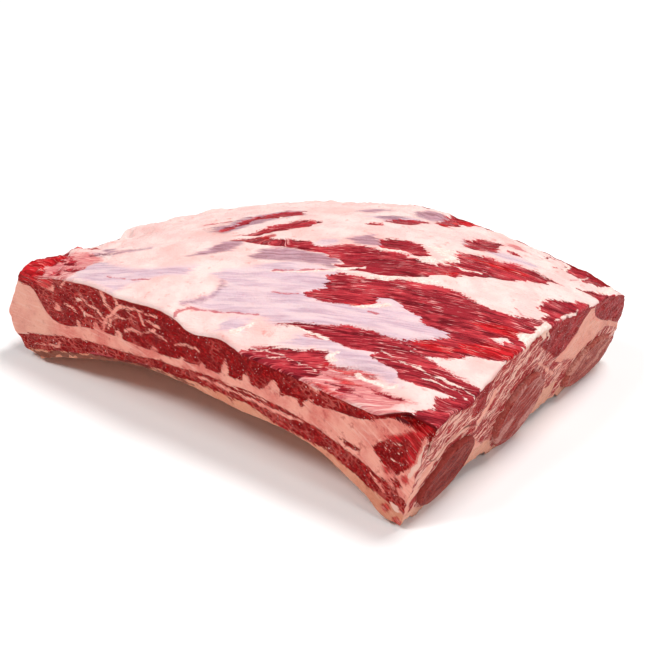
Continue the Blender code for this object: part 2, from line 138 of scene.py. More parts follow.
# The top face, in (s, t): what lies on the cream fat, lowest first
TOP_SHAPES = (
    ("lean", (-70, 196), (-50, 199), (-24, 200), (-8, 206), (-34, 210), (-62, 204)),
    ("lean", (-112, 188), (-104, 186), (-98, 196), (-104, 206), (-113, 202)),
    ("silver", (-92, 2), (-91, 24), (-80, 20), (-60, 21), (-35, 38), (-32, 30), (-48, 18), (-56, 8),
     (-60, 1), (-80, 2)),
    ("silver", (-20, 9), (-17, 14), (-11, 21), (-11, 30), (-13, 33), (-22, 35), (-20, 42), (-10, 50),
     (0, 60), (8, 66), (17, 66), (30, 69), (36, 60), (60, 66), (84, 66), (100, 62), (100, 54), (86, 42),
     (75, 39), (65, 37), (58, 34), (50, 29), (40, 25), (30, 20), (18, 20), (10, 17), (0, 15), (-8, 13),
     (-15, 10)),
    ("silver", (6, 13), (12, 15), (16, 17), (19, 15), (17, 9), (12, 5), (8, 4), (6, 8)),
    ("silver", (36, 11), (50, 15), (52, 17), (62, 17.5), (63, 12), (70, 14), (84, 18), (90, 20),
     (100, 17), (103, 20), (97, 22), (97, 27), (90, 25), (78, 25), (78, 29), (70, 26), (62, 24),
     (55, 24), (42, 20), (41, 15)),
    ("silver", (0, 140), (8, 150), (14, 158), (22, 163), (24, 150), (10, 140)),
    ("silver", (72, 143), (72, 158), (84, 163), (95, 158), (92, 150), (84, 144)),
    ("silver", (2, 88), (3, 96), (9, 100), (14, 96), (12, 90)),
    ("mauve", (-18, 62), (-17, 72), (-10, 78), (0, 80), (8, 82), (13, 84), (20, 82), (25, 79), (27, 73),
     (28, 69), (17, 67), (8, 66), (0, 63), (-8, 61), (-15, 59)),
    ("mauve", (-48, 45), (-44, 46), (-38, 54), (-31, 62), (-29, 72), (-38, 75), (-41, 68), (-42, 58)),
    ("mauve", (-101, 48), (-97, 36), (-93, 30), (-91, 36), (-93, 42), (-97, 50)),
    ("mauve", (-61, 82), (-60, 95), (-55, 108), (-50, 118), (-49, 126), (-44, 132), (-36, 135),
     (-31, 128), (-26, 124), (-35, 114), (-41, 105), (-42, 95), (-45, 85), (-49, 79), (-57, 78)),
    ("mauve", (4, 144), (12, 138), (18, 150), (14, 160), (7, 155)),
    ("mauve", (7, 180), (18, 168), (27, 168), (26, 182), (22, 196), (10, 198)),
    ("mauve", (14, 104), (20, 101), (30, 103), (37, 106), (33, 112), (26, 112), (20, 116), (16, 110)),
    ("mauve", (-10, 148), (-6, 158), (-1, 170), (3, 164), (-3, 152)),
    ("mauve", (54, 155), (56, 146), (62, 138), (66, 140), (60, 148), (58, 158)),
    ("salmon", (-119, -2), (-112, 24), (-100, 30), (-92, 28), (-90, 12), (-93, 3), (-95, -2)),
    ("salmon", (57, -1), (60, 8), (63, 12.5), (72, 13.5), (84, 15.5), (96, 14), (112, 12), (104, 7),
     (112, 3), (108, -1)),
    ("salmon", (65, 172), (64, 182), (75, 184), (80, 176), (74, 170)),
    ("lean", (-131, -4), (-131, 25), (-118, 27), (-112, 23), (-113, 15), (-116, 9), (-117, -4)),
    ("lean", (-112, 22), (-104, 20), (-99, 16), (-104, 14), (-110, 16)),
    ("lean", (-108, 12.5), (-100, 11), (-90, 13), (-91, 8), (-97, 8), (-104, 9.5)),
    ("lean", (-111, 8), (-102, 8), (-99, 4), (-106, 1), (-112, 3)),
    ("lean", (-56, 79), (-56, 95), (-52, 108), (-48, 118), (-47, 128), (-40, 132), (-35, 135),
     (-28, 123), (-36, 114), (-44, 109), (-48, 105), (-49, 90), (-50, 80)),
    ("lean", (-45, 77), (-38, 83), (-33, 92), (-31, 103), (-28, 112), (-22, 117), (-14, 119),
     (-13, 105), (-18, 100), (-24, 93), (-30, 85), (-40, 80)),
    ("lean", (-40, 71), (-39, 76), (-33, 80), (-29, 84), (-10, 88), (-3, 91), (0, 89), (8, 88),
     (12, 91), (20, 100), (30, 101), (38, 103), (45, 106), (52, 105), (60, 106), (62, 110), (68, 109),
     (73, 97), (66, 88), (58, 83), (50, 78), (40, 75), (32, 71), (27, 73), (28, 76), (26, 80), (20, 82),
     (13, 85), (8, 83), (0, 81), (-10, 79), (-20, 75), (-29, 74), (-35, 73)),
    ("lean", (27, 113), (30, 118), (38, 121), (47, 122), (52, 119), (55, 113), (53, 108), (42, 107),
     (37, 104), (30, 105)),
    ("lean", (60, 129), (68, 134), (78, 140), (86, 145), (95, 149), (103, 151), (111, 155), (106, 150),
     (103, 140), (97, 130), (92, 124), (85, 118), (80, 112), (77, 98), (73, 97), (70, 103), (68, 109),
     (60, 110), (64, 113), (68, 116), (66, 124)),
    ("lean", (12, 138), (20, 140), (25, 143), (29, 150), (29, 158), (26, 162), (20, 160), (16, 152),
     (14, 144)),
    ("lean", (7, 129), (11, 130), (15, 133), (13, 135), (9, 133)),
    ("lean", (30, 162), (28, 168), (25, 180), (22, 190), (18, 200), (16, 213), (36, 213), (37, 200),
     (35, 192), (38, 184), (39, 177), (35, 165)),
    ("lean", (54, 155), (53, 162), (56, 172), (62, 175), (67, 170), (70, 160), (73, 148), (68, 140),
     (62, 139), (57, 146)),
    ("lean", (73, 164), (78, 162), (81, 166), (77, 167.5)),
    ("lean", (111, 131), (113, 134), (118, 140), (123, 150), (127, 154), (133, 152), (133, 104),
     (126, 104), (119, 106), (119, 114), (115, 111), (112, 120), (113, 128)),
    ("lean", (115, 160), (119, 168), (122, 180), (125, 187), (133, 186), (133, 164), (122, 164)),
    ("lean", (91, 205), (90, 209), (96, 214), (124, 214), (122, 208), (118, 200), (118, 185),
     (112, 185), (110, 178), (105, 180), (98, 178), (93, 172), (98, 182), (95, 190)),
    ("lean", (80, 214), (84, 198), (83, 190), (87, 177), (85, 192), (87, 200), (84, 214)),
    ("lean", (30, 69), (29, 62), (31, 58), (28, 56), (33, 53), (29, 48), (30, 44), (37, 44), (45, 47),
     (50, 50), (54, 51), (58, 56), (60, 62), (64, 64), (70, 64), (80, 64), (83, 61), (90, 60), (98, 60),
     (99, 56), (95, 52), (90, 48), (85, 44), (81, 41), (97, 40), (100, 42), (105, 46), (112, 53),
     (120, 59), (129, 66), (133, 70), (133, 98), (118, 105), (116, 100), (110, 94), (100, 91), (85, 91),
     (75, 89), (66, 86), (58, 81), (50, 76), (40, 71)),
    ("lean", (30, 20), (35, 23), (40, 26), (50, 30), (58, 35), (65, 38), (75, 40), (82, 41), (97, 40),
     (110, 40), (120, 42), (133, 43), (133, 30), (120, 31), (115, 29), (107, 24), (97, 23), (95, 25),
     (78, 24.5), (78, 28), (70, 25), (58, 23.5), (50, 23), (35, 21.5)),
    ("lean", (118, 31), (117, 22), (118, 15), (113, 6), (108, -3), (133, -3), (133, 31)),
    ("lean", (50, 10), (52, 15), (60, 17), (63, 16), (64, 11), (58, 9)),
    ("lean", (20, -3), (24, 2), (32, 7.5), (45, 11.5), (57, 15.5), (63, 15), (66, 10), (63, 4),
     (58, -3)),
    ("lean", (70, 5), (78, 7), (90, 5), (80, 3)),
    ("lean", (88, 11), (100, 13), (110, 12), (102, 10)),
    ("torn", (66, 8), (76, 11), (88, 11), (82, 8)),
    ("torn", (64, 1), (74, 2), (84, 1), (74, -1)),
    ("torn", (-131, -4), (-131, 12), (-126, 20), (-118, 24), (-114, 20), (-116, 9), (-117, -4)),
    ("torn", (-29, 83), (-22, 90), (-20, 88), (-24, 82)),
    ("torn", (-34, 74), (-31, 79), (-29, 78), (-31, 73)),
    ("torn", (100, 76), (108, 84), (120, 88), (129, 92), (129, 86), (118, 80), (108, 76)),
    ("torn", (105, 57), (112, 66), (126, 76), (130, 74), (127, 66), (116, 58), (108, 53)),
    ("torn", (48, 50), (54, 53), (59, 60), (57, 55), (53, 50)),
    ("torn", (63, 12), (70, 13.8), (80, 17.3), (88, 19), (90, 18), (84, 15.5), (72, 12), (63, 10.5)),
    ("torn", (17, 213), (24, 200), (29, 186), (34, 190), (37, 205), (36, 213)),
    ("torn", (28, 166), (33, 172), (37, 178), (39, 176), (36, 165)),
    ("torn", (70, 100), (72, 110), (76, 108), (75, 98)),
    ("torn", (66, 128), (80, 137), (98, 144), (92, 136), (78, 130)),
    ("torn", (86, 44), (92, 49), (98, 52), (108, 54), (104, 48), (96, 45)),
    ("white", (50, 124), (57, 128), (62, 126), (67, 120), (68, 115), (62, 113), (60, 118), (52, 122)),
    ("white", (52, 103), (55, 108), (56, 112), (60, 112), (61, 106), (54, 105)),
    ("white", (32, 102), (38, 106), (45, 109), (43, 106), (36, 102.5)),
    ("white", (52, 50), (57, 53.5), (63, 60), (67, 60), (63, 56), (58, 51.5)),
    ("white", (63, 12.5), (64, 20), (66, 20), (68, 14.5), (66, 13.5)),
    ("white", (117, 84), (124, 80), (134, 76), (134, 106), (125, 106), (121, 98), (125, 92)),
    ("white", (121, 106), (124, 100), (129, 94), (133, 96), (133, 106)),
    ("white", (124, 61), (129, 68), (134, 70), (134, 60)),
    ("white", (124, 154), (128, 159), (134, 163), (134, 151)),
    ("white", (127, 40), (130, 46), (134, 48), (134, 38)),
    ("white", (60, 82), (68, 88), (74, 92), (76, 90), (70, 86)),
    ("white", (-39, 114), (-37, 117), (-35, 115), (-37, 112)),
    ("fat", (100, 42), (105, 46), (112, 53), (120, 59), (133, 68), (133, 43), (120, 42), (97, 40)),
    ("fat", (112, 72), (115, 77), (119, 76), (117, 71)),
)

# Thin lines on the top face: kind, width, then points
TOP_LINES = (
    ("torn", 2.6, (-124, 34), (-117, 40), (-108, 44), (-98, 46)),
    ("white", 1.3, (28, 69.5), (33, 73), (39, 79)),
    ("white", 1.4, (40, 71.5), (50, 76), (58, 81.5), (66, 86.5)),
    ("white", 1.0, (61, 111), (68, 113), (75, 115), (85, 121)),
    ("white", 1.6, (13, 5), (16, 8), (18, 11), (20, 15)),
    ("white", 1.0, (2, 52), (10, 56), (17, 60), (29, 68)),
    ("white", 0.9, (110, 130), (112, 118), (116, 111.5), (119, 113)),
    ("white", 1.0, (30, 20.5), (40, 22.5), (50, 24), (56, 24)),
    ("white", 0.7, (96, 31), (106, 33), (112, 36), (120, 38.5), (126, 38)),
    ("white", 0.7, (104, 29), (112, 33), (118, 35.5), (125, 34)),
    ("white", 0.6, (80, 32), (92, 30), (100, 33)),
    ("white", 1.5, (120, 207), (122, 190), (122, 182)),
    ("white", 1.2, (95, 200), (96, 190), (99, 182)),
    ("white", 1.0, (106, 200), (106, 190), (108, 180)),
    ("white", 1.0, (124, 112), (126, 128), (125, 140)),
    ("white", 1.3, (80, 15), (88, 15.5), (95, 14.5), (98, 17), (97.5, 20)),
    ("white", 0.4, (36, 4), (48, 6.5), (62, 7.5)),
    ("white", 0.4, (24, 3), (34, 6.5), (44, 8)),
    ("red", 1.1, (-19, 1), (-15, 9.5), (-8, 13), (0, 15), (10, 17.5), (18, 20.5)),
    ("red", 1.2, (3, 53.5), (10, 57.5), (17, 61.5), (28, 68)),
    ("red", 0.7, (-72, 10), (-60, 12), (-48, 16)),
    ("red", 0.7, (14, 38), (20, 40), (28, 44), (34, 45)),
    ("red", 0.9, (60, 51), (64, 52.5)),
    ("red", 0.8, (44, 20), (52, 22.5), (57, 24)),
    ("red", 0.7, (26, 4.5), (36, 7), (48, 8.5)),
    ("red", 0.7, (30, 2), (42, 5), (54, 6)),
    ("red", 1.3, (108, 103), (113, 100), (117, 103)),
    ("red", 1.4, (-72, 90), (-66, 95), (-61, 100)),
    ("red", 1.0, (107, 165), (108, 178)),
    ("mauve", 2.0, (-103, 26), (-97, 32), (-90, 35), (-85, 39), (-75, 47)),
    ("mauve", 1.4, (-19.5, 8), (-16, 14), (-11, 21), (-11, 30), (-14, 33)),
    ("slit", 0.6, (-102, 27), (-97, 32), (-91, 34.5)),
    ("red", 0.9, (97, 40.3), (108, 41), (120, 42.5)),
)

# Rise and fall of the top face along its left edge: place across the bones, rise
LEFT_EDGE_RISE = ((0, 0), (48, 0), (55, 1.4), (62, -0.4), (83, -0.6), (90, 2.8), (103, 1.6),
                  (112, -0.3), (118, 1.3), (124, 0), (131, 1.2), (138, -0.5), (211, 0))
LEFT_EDGE_START = -94
LEFT_EDGE_RUN = 24

# Mounds on the top face: along, across, half length, half width, rise
TORN_LUMP = (-116, 30, 13, 15, 3.2)
FAT_FLAP = (-104, 136, 7, 6, 2.4)

# The front cut, in (s, height)
FRONT_SHAPES = (
    ("fat", (-119, 47), (-115, 43), (-107, 40), (-105, 43), (-108, 46), (-114, 48)),
    ("fat", (63, 40), (66, 42), (70, 40), (69, 37), (65, 37)),
    ("torn", (-131, 58), (-134, 48), (-122, 46), (-112, 42), (-106, 44), (-104, 50), (-106, 56)),
    ("lean", (103, 27), (107, 34), (112, 41), (118, 49), (122, 55), (125.5, 57), (125.5, 40), (124, 30),
     (120, 22), (110, 22)),
    ("lean", (58, 28), (61, 29.5), (64, 26), (62, 22.5), (60, 25)),
    ("lean", (85, 19), (92, 20.5), (98, 20.5), (97, 18), (90, 17.5)),
    ("lean", (117, 19), (122, 20), (125, 17), (121, 14)),
    ("lean", (119, 11), (125, 11), (131, 9), (129, 6), (121, 8)),
    ("torn", (107, 37), (112, 43), (118, 51), (124, 57), (125.4, 55), (124, 48), (119, 45), (113, 39)),
    ("torn", (119.5, 46), (125.2, 48), (125, 30), (121.5, 32)),
    ("white", (66, 41.5), (69, 40.5), (68.5, 38), (66, 38.5)),
    ("fat", (117, 0), (124, 4), (131, 3), (131, -8), (118, -9)),
    ("torn", (110, 20), (114, 23), (118, 22), (114, 18)),
    ("torn", (122, 24), (126, 27), (127, 22), (124, 20)),
    ("lean", (112, 14), (117, 15.5), (115, 11)),
    ("torn", (117, -1), (121, 2), (125, 0), (121, -4)),
    ("torn", (125, -5), (128, -1), (131, -3), (129, -7)),
    ("white", (121, 4), (126, 5.5), (128, 2), (124, 1)),
)
# Wedges of fat that rise from its seam: place along the bones, width, height
FRONT_WEDGES = ((-107, 6, 2.5), (-93, 5, 2.5), (-79, 7, 4), (-62, 8, 4), (-2, 6, 3), (13, 6, 9),
                (27, 7, 5), (44, 13, 7), (66, 6, 3), (-36, 7, 2), (-16, 8, 2))
FRONT_LINES = (
    ("fat", 1.7, (-74, 18), (-72, 24), (-69, 28), (-64, 31), (-59, 36), (-54, 38), (-47, 38)),
    ("fat", 1.5, (-70, 26), (-74, 31), (-79, 38)),
    ("fat", 1.5, (-69, 44), (-67.5, 37), (-63, 33)),
    ("fat", 0.9, (-72, 24), (-77, 27), (-83, 28), (-88, 32)),
    ("fat", 0.8, (-63, 33), (-58, 30), (-52, 31), (-47, 29)),
    ("fat", 0.8, (-54, 38), (-50, 34), (-46, 33)),
    ("fat", 0.7, (-76, 33), (-82, 35), (-86, 40)),
    ("fat", 0.7, (-66, 30), (-66, 25), (-63, 22)),
    ("fat", 0.7, (-59, 36), (-61, 41), (-60, 45)),
    ("fat", 0.6, (-46, 38), (-38, 37), (-30, 38)),
    ("fat", 0.6, (-40, 28), (-32, 27), (-26, 24)),
    ("fat", 1.3, (-69, 22), (-66, 27), (-61, 30)),
    ("fat", 1.4, (-45, 39), (-42, 34), (-41, 30)),
    ("fat", 1.2, (-56, 23), (-50, 25), (-44, 24), (-38, 26), (-33, 29)),
    ("fat", 1.1, (-38, 33), (-30, 31)),
    ("fat", 1.0, (-60, 41), (-58, 37)),
    ("white", 1.6, (-90, 37), (-86, 36.5)),
    ("white", 0.9, (-85, 30), (-85.5, 27)),
    ("fat", 1.4, (-99, 44), (-95, 47), (-91, 51)),
    ("fat", 0.9, (-100, 34), (-94, 32), (-92, 29)),
    ("fat", 0.9, (-20, 24), (-12, 27), (-4, 25)),
    ("fat", 1.2, (-5, 9.5), (10, 10), (30, 10.4), (45, 11), (56, 13), (63, 14.5)),
    ("fat", 0.8, (2, 14), (20, 13), (40, 14.5)),
    ("fat", 1.1, (-122, 5), (-117, 6), (-112, 9)),
    ("fat", 0.8, (-138, 7), (-126, 6.5), (-117, 7)),
    ("fat", 1.2, (107, 12), (112, 9), (116, 7)),
    ("slit", 1.0, (-50, 32), (-47, 30)),
    ("slit", 0.8, (-84, 33), (-82, 31)),
    ("red", 3.4, (-141, 0.8), (-120, 1.0), (-90, 1.6), (-66, 2.8)),
    ("red", 1.4, (-66, 2.8), (-40, 4.0), (-10, 2.6)),
    ("white", 0.6, (106, 34), (112, 37), (117, 40)),
    ("white", 0.6, (106, 30), (112, 32), (118, 34)),
    ("white", 0.5, (109, 26), (115, 28), (121, 29)),
    ("slit", 1.8, (109, 52.5), (116, 54.5), (127, 57)),
    ("white", 1.4, (127.2, 55), (127.6, 44), (127.2, 33), (126, 26)),
    ("red", 1.0, (-14, 45), (-15.5, 43)),
)

# The right cut, in (t, height); the seam is clean fat behind the start of the wedge
WEDGE_START = 131.0
RIGHT_SHAPES = (
    ("plain", (42, 44), (42, 62), (47, 72), (53, 70), (53, 52), (51, 44)),
    ("plain", (100, 60), (98, 75), (150, 75), (156, 60), (150, 48), (137, 36), (128, 38), (112, 50)),
    ("plain", (163, 46), (160, 62), (215, 62), (215, 22), (190, 33)),
    ("lean", (7, 26), (18, 36), (27, 38), (26, 33), (14, 24)),
    ("lean", (60, 27), (67, 31), (80, 36), (92, 46), (104, 46), (90, 38), (75, 31)),
    ("lean", (128, 30), (138, 30), (150, 26), (148, 21), (135, 25)),
    ("fat", (48, 31), (54, 33), (60, 42), (65, 55), (58, 47), (52, 39)),
    ("fat", (48, -6), (50, 8), (56, 20), (62, 14), (72, 4), (74, -6)),
    ("fat", (112, -8), (116, 8), (121, 20), (132, 12), (144, 3), (146, -6)),
    ("fat", (10, 33), (20, 37.5), (40, 39), (44, 35), (30, 34), (16, 30)),
    ("fat", (27, 66), (33, 60), (50, 64), (56, 72), (30, 70)),
    ("fat", (64, 76), (68, 66), (84, 68), (98, 69), (100, 80)),
    ("white", (82, 73), (84, 65), (90, 67), (96, 68), (101, 61), (103, 70), (104, 78), (90, 78)),
    ("white", (24, 58), (30, 60), (38, 57.5), (42, 62), (52, 63), (60, 66), (58, 74), (26, 66)),
    ("fat", (2, -6), (5, 14), (12, 26), (18, 33), (12, 34), (3, 22), (-2, 10)),
    ("lean", (140, 1), (148, 12), (152, 4), (148, -3)),
    ("lean", (49, 10), (52, 22), (56, 24), (55, 14)),
)
RIGHT_LINES = (
    ("white", 0.8, (6, 40), (20, 50), (34, 60)),
    ("white", 0.7, (14, 40), (30, 49), (44, 60)),
    ("white", 0.8, (53, 46), (56, 57), (62, 68)),
    ("white", 0.8, (60, 32), (72, 46), (84, 57), (96, 64)),
    ("white", 0.7, (66, 42), (76, 54), (86, 66)),
    ("white", 0.8, (70, 36), (82, 46), (96, 51), (110, 49)),
    ("fat", 1.3, (104, 46), (114, 38), (124, 30), (134, 22)),
    ("fat", 1.0, (112, 32), (120, 24), (130, 16)),
    ("white", 0.8, (3, 20), (14, 28), (26, 34), (42, 37)),
    ("white", 1.8, (101, 72), (104, 66), (107, 60)),
    ("white", 1.5, (120, 76), (123, 70)),
)

# The kinds of tissue that are painted; each field holds millimetres inside its outlines, up to FAR
FIELDS = ("lean", "silver", "mauve", "salmon", "torn", "white", "red", "slit", "plain")
FAR = 12.0

# Fibres: the slope on the top face, the steeper patch at its back left, and the angles at the cuts
TOP_FIBRE_SLOPE = 0.46
TOP_FIBRE_SKEW = 0.45
STEEP_FRONT, STEEP_RIGHT, STEEP_LEFT, STEEP_MIDDLE = 72, -8, -66, -30
STEEP_RUNS = (12, 14, 8)
STEEP_SLOPE = 1.5
SIDE_FIBRE_ANGLE = math.radians(33)
FRONT_FIBRE_ANGLE = math.radians(20)

# Layers of noise: depth in millimetres, grain both ways, seed, octaves
FINGERS = ((3.6, 24, 1.9, 5, 3), (2.0, 9, 1.1, 9, 1))
FINGER_COS, FINGER_SIN = 0.9, 0.42
TOP_WARP = ((0.9, 5, 4, 3, 3),)
LINE_WARP_S = ((0.9, 5, 5, 21, 3),)
LINE_WARP_T = ((0.9, 5, 5, 22, 3),)
FIBRES = ((0.42, 1.9, 26, 31, 3), (0.6, 5.5, 45, 37, 1))
FAT_BUMPS = ((0.55, 10, 8, 41, 3), (0.12, 2.2, 1.7, 43, 1))
TORN_WAVES = ((1.2, 2.4, 7, 51, 3),)
FAR_EDGE_WAVES = ((2.6, 15, 12, 53, 3), (1.4, 5, 5, 57, 3))
WRINKLES = ((0.35, 14, 7, 61, 3),)
CUT_WARP_X = ((0.9, 4.5, 4.5, 71, 3),)
CUT_WARP_Y = ((0.9, 4.5, 4.5, 73, 3),)
CUT_GRAIN = ((0.45, 2.6, 4.5, 81, 3),)
CUT_WAVES = ((0.5, 12, 9, 83, 3),)
MEMBRANE_SEAM = ((2.0, 9, 3, 91, 3),)
RIB_MEAT_SEAM = ((1.6, 8, 4, 92, 3),)
UPPER_MEAT_SEAM = ((1.8, 6, 4, 93, 3),)
LINE_GRAIN = 3.1

# Relief, in millimetres
LEAN_SINK = 0.9
WHITE_RISE = 0.7
SLIT_DEPTH = 1.3
RED_DEPTH = 0.5
TORN_END, TORN_END_RISE = -100, 2.0
FAR_EDGE_SINK = 2.0
RELIEF_AT_EDGE = 0.45
CUT_RELIEF = 0.4
CUT_SLIT_DEPTH = 0.9

# How far the meat reaches past each seam of the front cut
MEMBRANE_REACH = 1.0
RIB_MEAT_REACH = 0.3
UPPER_MEAT_REACH = 0.2

# How much web of fat each cut face has, and the least in the rib meat
CUT_WEB = {"front": 0.3, "right": 0.9, "left": 0.7, "back": 0.5}
RIB_MEAT_WEB = 0.68

# Unevenness of the cut faces: seed, depth of the knife's waves, depth of the finer grain
CUT_UNEVENNESS = {"front": (101, 0.7, 0.45), "right": (111, 1.3, 0.7), "back": (121, 2.2, 0.8),
                  "left": (131, 1.8, 0.8)}
KNIFE_WAVE = (13, 10)
KNIFE_SINK = 0.3
KNIFE_GRAIN = 3.1
BORDER_REACH = 5.0

# The way out of each face of the straight slab
OUTWARD = {"left": (-1, 0, 0), "right": (1, 0, 0), "front": (0, -1, 0), "back": (0, 1, 0),
           "bottom": (0, 0, -1), "top": (0, 0, 1)}


def smooth(x, y, at):
    """A smooth curve through the points (x, y), read at the places in at.

    y is either one curve's heights or a row of heights for each x, with a column for each place.
    """
    x = np.asarray(x, float)
    y = np.asarray(y, float)
    at = np.clip(at, x[0], x[-1])
    i = np.clip(np.searchsorted(x, at, side="right") - 1, 0, len(x) - 2)
    width = x[i + 1] - x[i]
    k = (at - x[i]) / width
    steps = np.diff(y, axis=0) / np.diff(x).reshape((-1,) + (1,) * (y.ndim - 1))
    slope = np.concatenate([steps[:1], (steps[1:] + steps[:-1]) / 2, steps[-1:]])
    column = (np.arange(len(at)),) if y.ndim > 1 else ()
    before, after = y[(i, *column)], y[(i + 1, *column)]
    start = slope[(i, *column)] * width * k * (1 - k) ** 2
    end = slope[(i + 1, *column)] * width * k ** 2 * (k - 1)
    return before + (after - before) * k ** 2 * (3 - 2 * k) + start + end


def along_points(points, share):
    """A curve's height at a share, 0 to 1, of its run from its first point to its last."""
    x, y = np.array(points, float).T
    return smooth(x, y, x[0] + share * (x[-1] - x[0]))


def ease(x):
    """From 0 to 1 with level ends."""
    x = np.clip(x, 0, 1)
    return x * x * (3 - 2 * x)


def net_height(net, u, v):
    """The height of a net of stations at the places u, v."""
    s = (u - 0.5) * SLAB_LENGTH
    t = v * SLAB_WIDTH
    return smooth(ALONG, [smooth(ACROSS, row, t) for row in net], s)


def sheet_height(net, front, right, u, v):
    """A net whose edges at the front cut and the right cut follow the given curves."""
    near_front = 1 - ease(v / EDGE_FADE)
    near_right = 1 - ease((1 - u) / EDGE_FADE)
    front_change = along_points(front, u) - net_height(net, u, 0 * v)
    right_change = along_points(right, v) - net_height(net, 0 * u + 1, v)
    corner_change = along_points(right, 0 * v) - net_height(net, 0 * u + 1, 0 * v)
    change = near_front * front_change + near_right * right_change
    return net_height(net, u, v) + change - near_front * near_right * corner_change


def cut_place(points, at):
    """The second value of the points at a first one, straight between them."""
    x, y = np.array(points, float).T
    return np.interp(at, x, y)


def along_place(u, height, left_proud=0.0, right_proud=0.0):
    """Where u and a height lie along the bones, between the left and right cuts."""
    left = cut_place(LEFT_CUT, height) - left_proud
    right = cut_place(RIGHT_CUT, height) + right_proud
    return left + u * (right - left)


def across_place(u, v, height):
    """Where v and a height lie across the bones; only the stretch near the back edge is drawn in."""
    drawn_in = SLAB_WIDTH - cut_place(BACK_EDGE, height) + CORNER_TAPER * (1 - ease(u / CORNER_RUN))
    return v * SLAB_WIDTH - drawn_in * v ** BACK_EDGE_POWER


def rib_section(rib, u):
    """A bone's section at u, by name."""
    return {key: smooth(RIB_STATIONS, rib[key], u) for key in RIB_SECTION}


def rib_envelope(rib, u, v, cover, side):
    """The height of a bone's top (side 1) or bottom (side -1) with a cover, or nan beside it."""
    section = rib_section(rib, u)
    x = across_place(u, v, section["height"]) - section["across"]
    a = section["width"] + cover
    b = section["thick"] + cover
    lean = section["lean"]
    square = lean ** 2 / a ** 2 + 1 / b ** 2
    half = x * lean / a ** 2
    inside = half ** 2 - square * (x ** 2 / a ** 2 - 1)
    root = np.sqrt(np.where(inside > 0, inside, np.nan))
    return section["height"] + (half + side * root) / square


def underside(u, v):
    """The bottom of the slab, which sags in flattened pads under the bones at both ends."""
    height = sheet_height(UNDERSIDE_NET, FRONT_UNDERSIDE, RIGHT_UNDERSIDE, u, v)
    pad = PAD_DEPTH * ease((PAD_START - np.minimum(u, 1 - u)) / PAD_RUN)
    cover = MEAT_UNDER_RIB + MEMBRANE_UNDER_RIB
    for rib in RIBS:
        height = np.fmin(height, rib_envelope(rib, u, v, cover, -1) - pad)
    return height


def membrane_top(u, v):
    """The top of the membrane, which passes under the bones."""
    height = sheet_height(MEMBRANE_NET, FRONT_MEMBRANE, RIGHT_MEMBRANE, u, v)
    for rib in RIBS:
        height = np.fmin(height, rib_envelope(rib, u, v, MEAT_UNDER_RIB, -1))
    return np.maximum(height, underside(u, v) + MEMBRANE_UNDER_RIB)


def rib_meat_top(u, v):
    """The top of the rib meat, which covers the bones."""
    height = sheet_height(RIB_MEAT_NET, FRONT_RIB_MEAT, RIGHT_RIB_MEAT, u, v)
    for rib in RIBS:
        height = np.fmax(height, rib_envelope(rib, u, v, MEAT_OVER_RIB, 1))
    return height


def seam_top(u, v):
    """The top of the fat seam."""
    height = sheet_height(SEAM_NET, FRONT_SEAM, RIGHT_SEAM, u, v)
    return np.maximum(height, rib_meat_top(u, v) + LEAST_LAYER)


def upper_face(u, v):
    """The upper face, with its lumps and the long low waves of the muscle."""
    s = (u - 0.5) * SLAB_LENGTH
    t = v * SLAB_WIDTH
    height = sheet_height(TOP_NET, FRONT_TOP, RIGHT_TOP, u, v)
    for along, across, half_length, half_width, rise in TOP_LUMPS:
        run = (s - along) * math.cos(FIBRE_ANGLE) + (t - across) * math.sin(FIBRE_ANGLE)
        side = (t - across) * math.cos(FIBRE_ANGLE) - (s - along) * math.sin(FIBRE_ANGLE)
        height = height + rise * np.exp(-(run / half_length) ** 2 - (side / half_width) ** 2)
    turn = (t * math.cos(FIBRE_ANGLE) - s * math.sin(FIBRE_ANGLE)) * 2 * math.pi / FIBRE_PITCH
    height = height + FIBRE_RELIEF * np.sin(turn) * ease(v / EDGE_FADE)
    return np.maximum(height, seam_top(u, v) + LEAST_LAYER)


def bend(s, t, height):
    """Bends places of the straight slab over the arch and rests them on the floor, in metres."""
    reach = ARCH_RADIUS + height
    x = reach * np.sin(s / ARCH_RADIUS) + CENTRE_SHIFT
    ends = ARCH_RADIUS * math.cos(SLAB_LENGTH / 2 / ARCH_RADIUS)
    z = reach * np.cos(s / ARCH_RADIUS) - ends + ARCH_LIFT
    return np.stack([x, t - SLAB_WIDTH / 2, np.maximum(z, 0)], -1) * MM


def ledge_share(u, v):
    """From 1 at the ledge of fat at the near right corner to 0 away from it."""
    return ease((u - LEDGE_START) / LEDGE_RUN) * (1 - v) ** LEDGE_FADE_POWER


def behind_ledge(u, v):
    """v of the upper meat, which starts behind the ledge."""
    return v + ledge_share(u, v) * LEDGE_DEPTH / SLAB_WIDTH


def upper_meat_base(u, v):
    """The bottom of the upper meat, which is clear of the fat at the ledge."""
    return seam_top(u, v) + LEDGE_GAP * ledge_share(u, v)


def hashed(i, j, seed):
    """A steady random value from 0 to 1 for each pair of whole numbers."""
    n = (i * 374761393 + j * 668265263 + seed * 974634777) & 0xFFFFFFFF
    n = ((n ^ (n >> 13)) * 1274126177) & 0xFFFFFFFF
    return ((n ^ (n >> 16)) & 0xFFFF) / 65535.0


def noise(x, y, seed):
    """Smooth noise from -1 to 1 with a grain of one unit."""
    i, j = np.floor(x).astype(np.int64), np.floor(y).astype(np.int64)
    a, b = ease(x - i), ease(y - j)
    low = hashed(i, j, seed) * (1 - a) + hashed(i + 1, j, seed) * a
    high = hashed(i, j + 1, seed) * (1 - a) + hashed(i + 1, j + 1, seed) * a
    return 2 * (low * (1 - b) + high * b) - 1


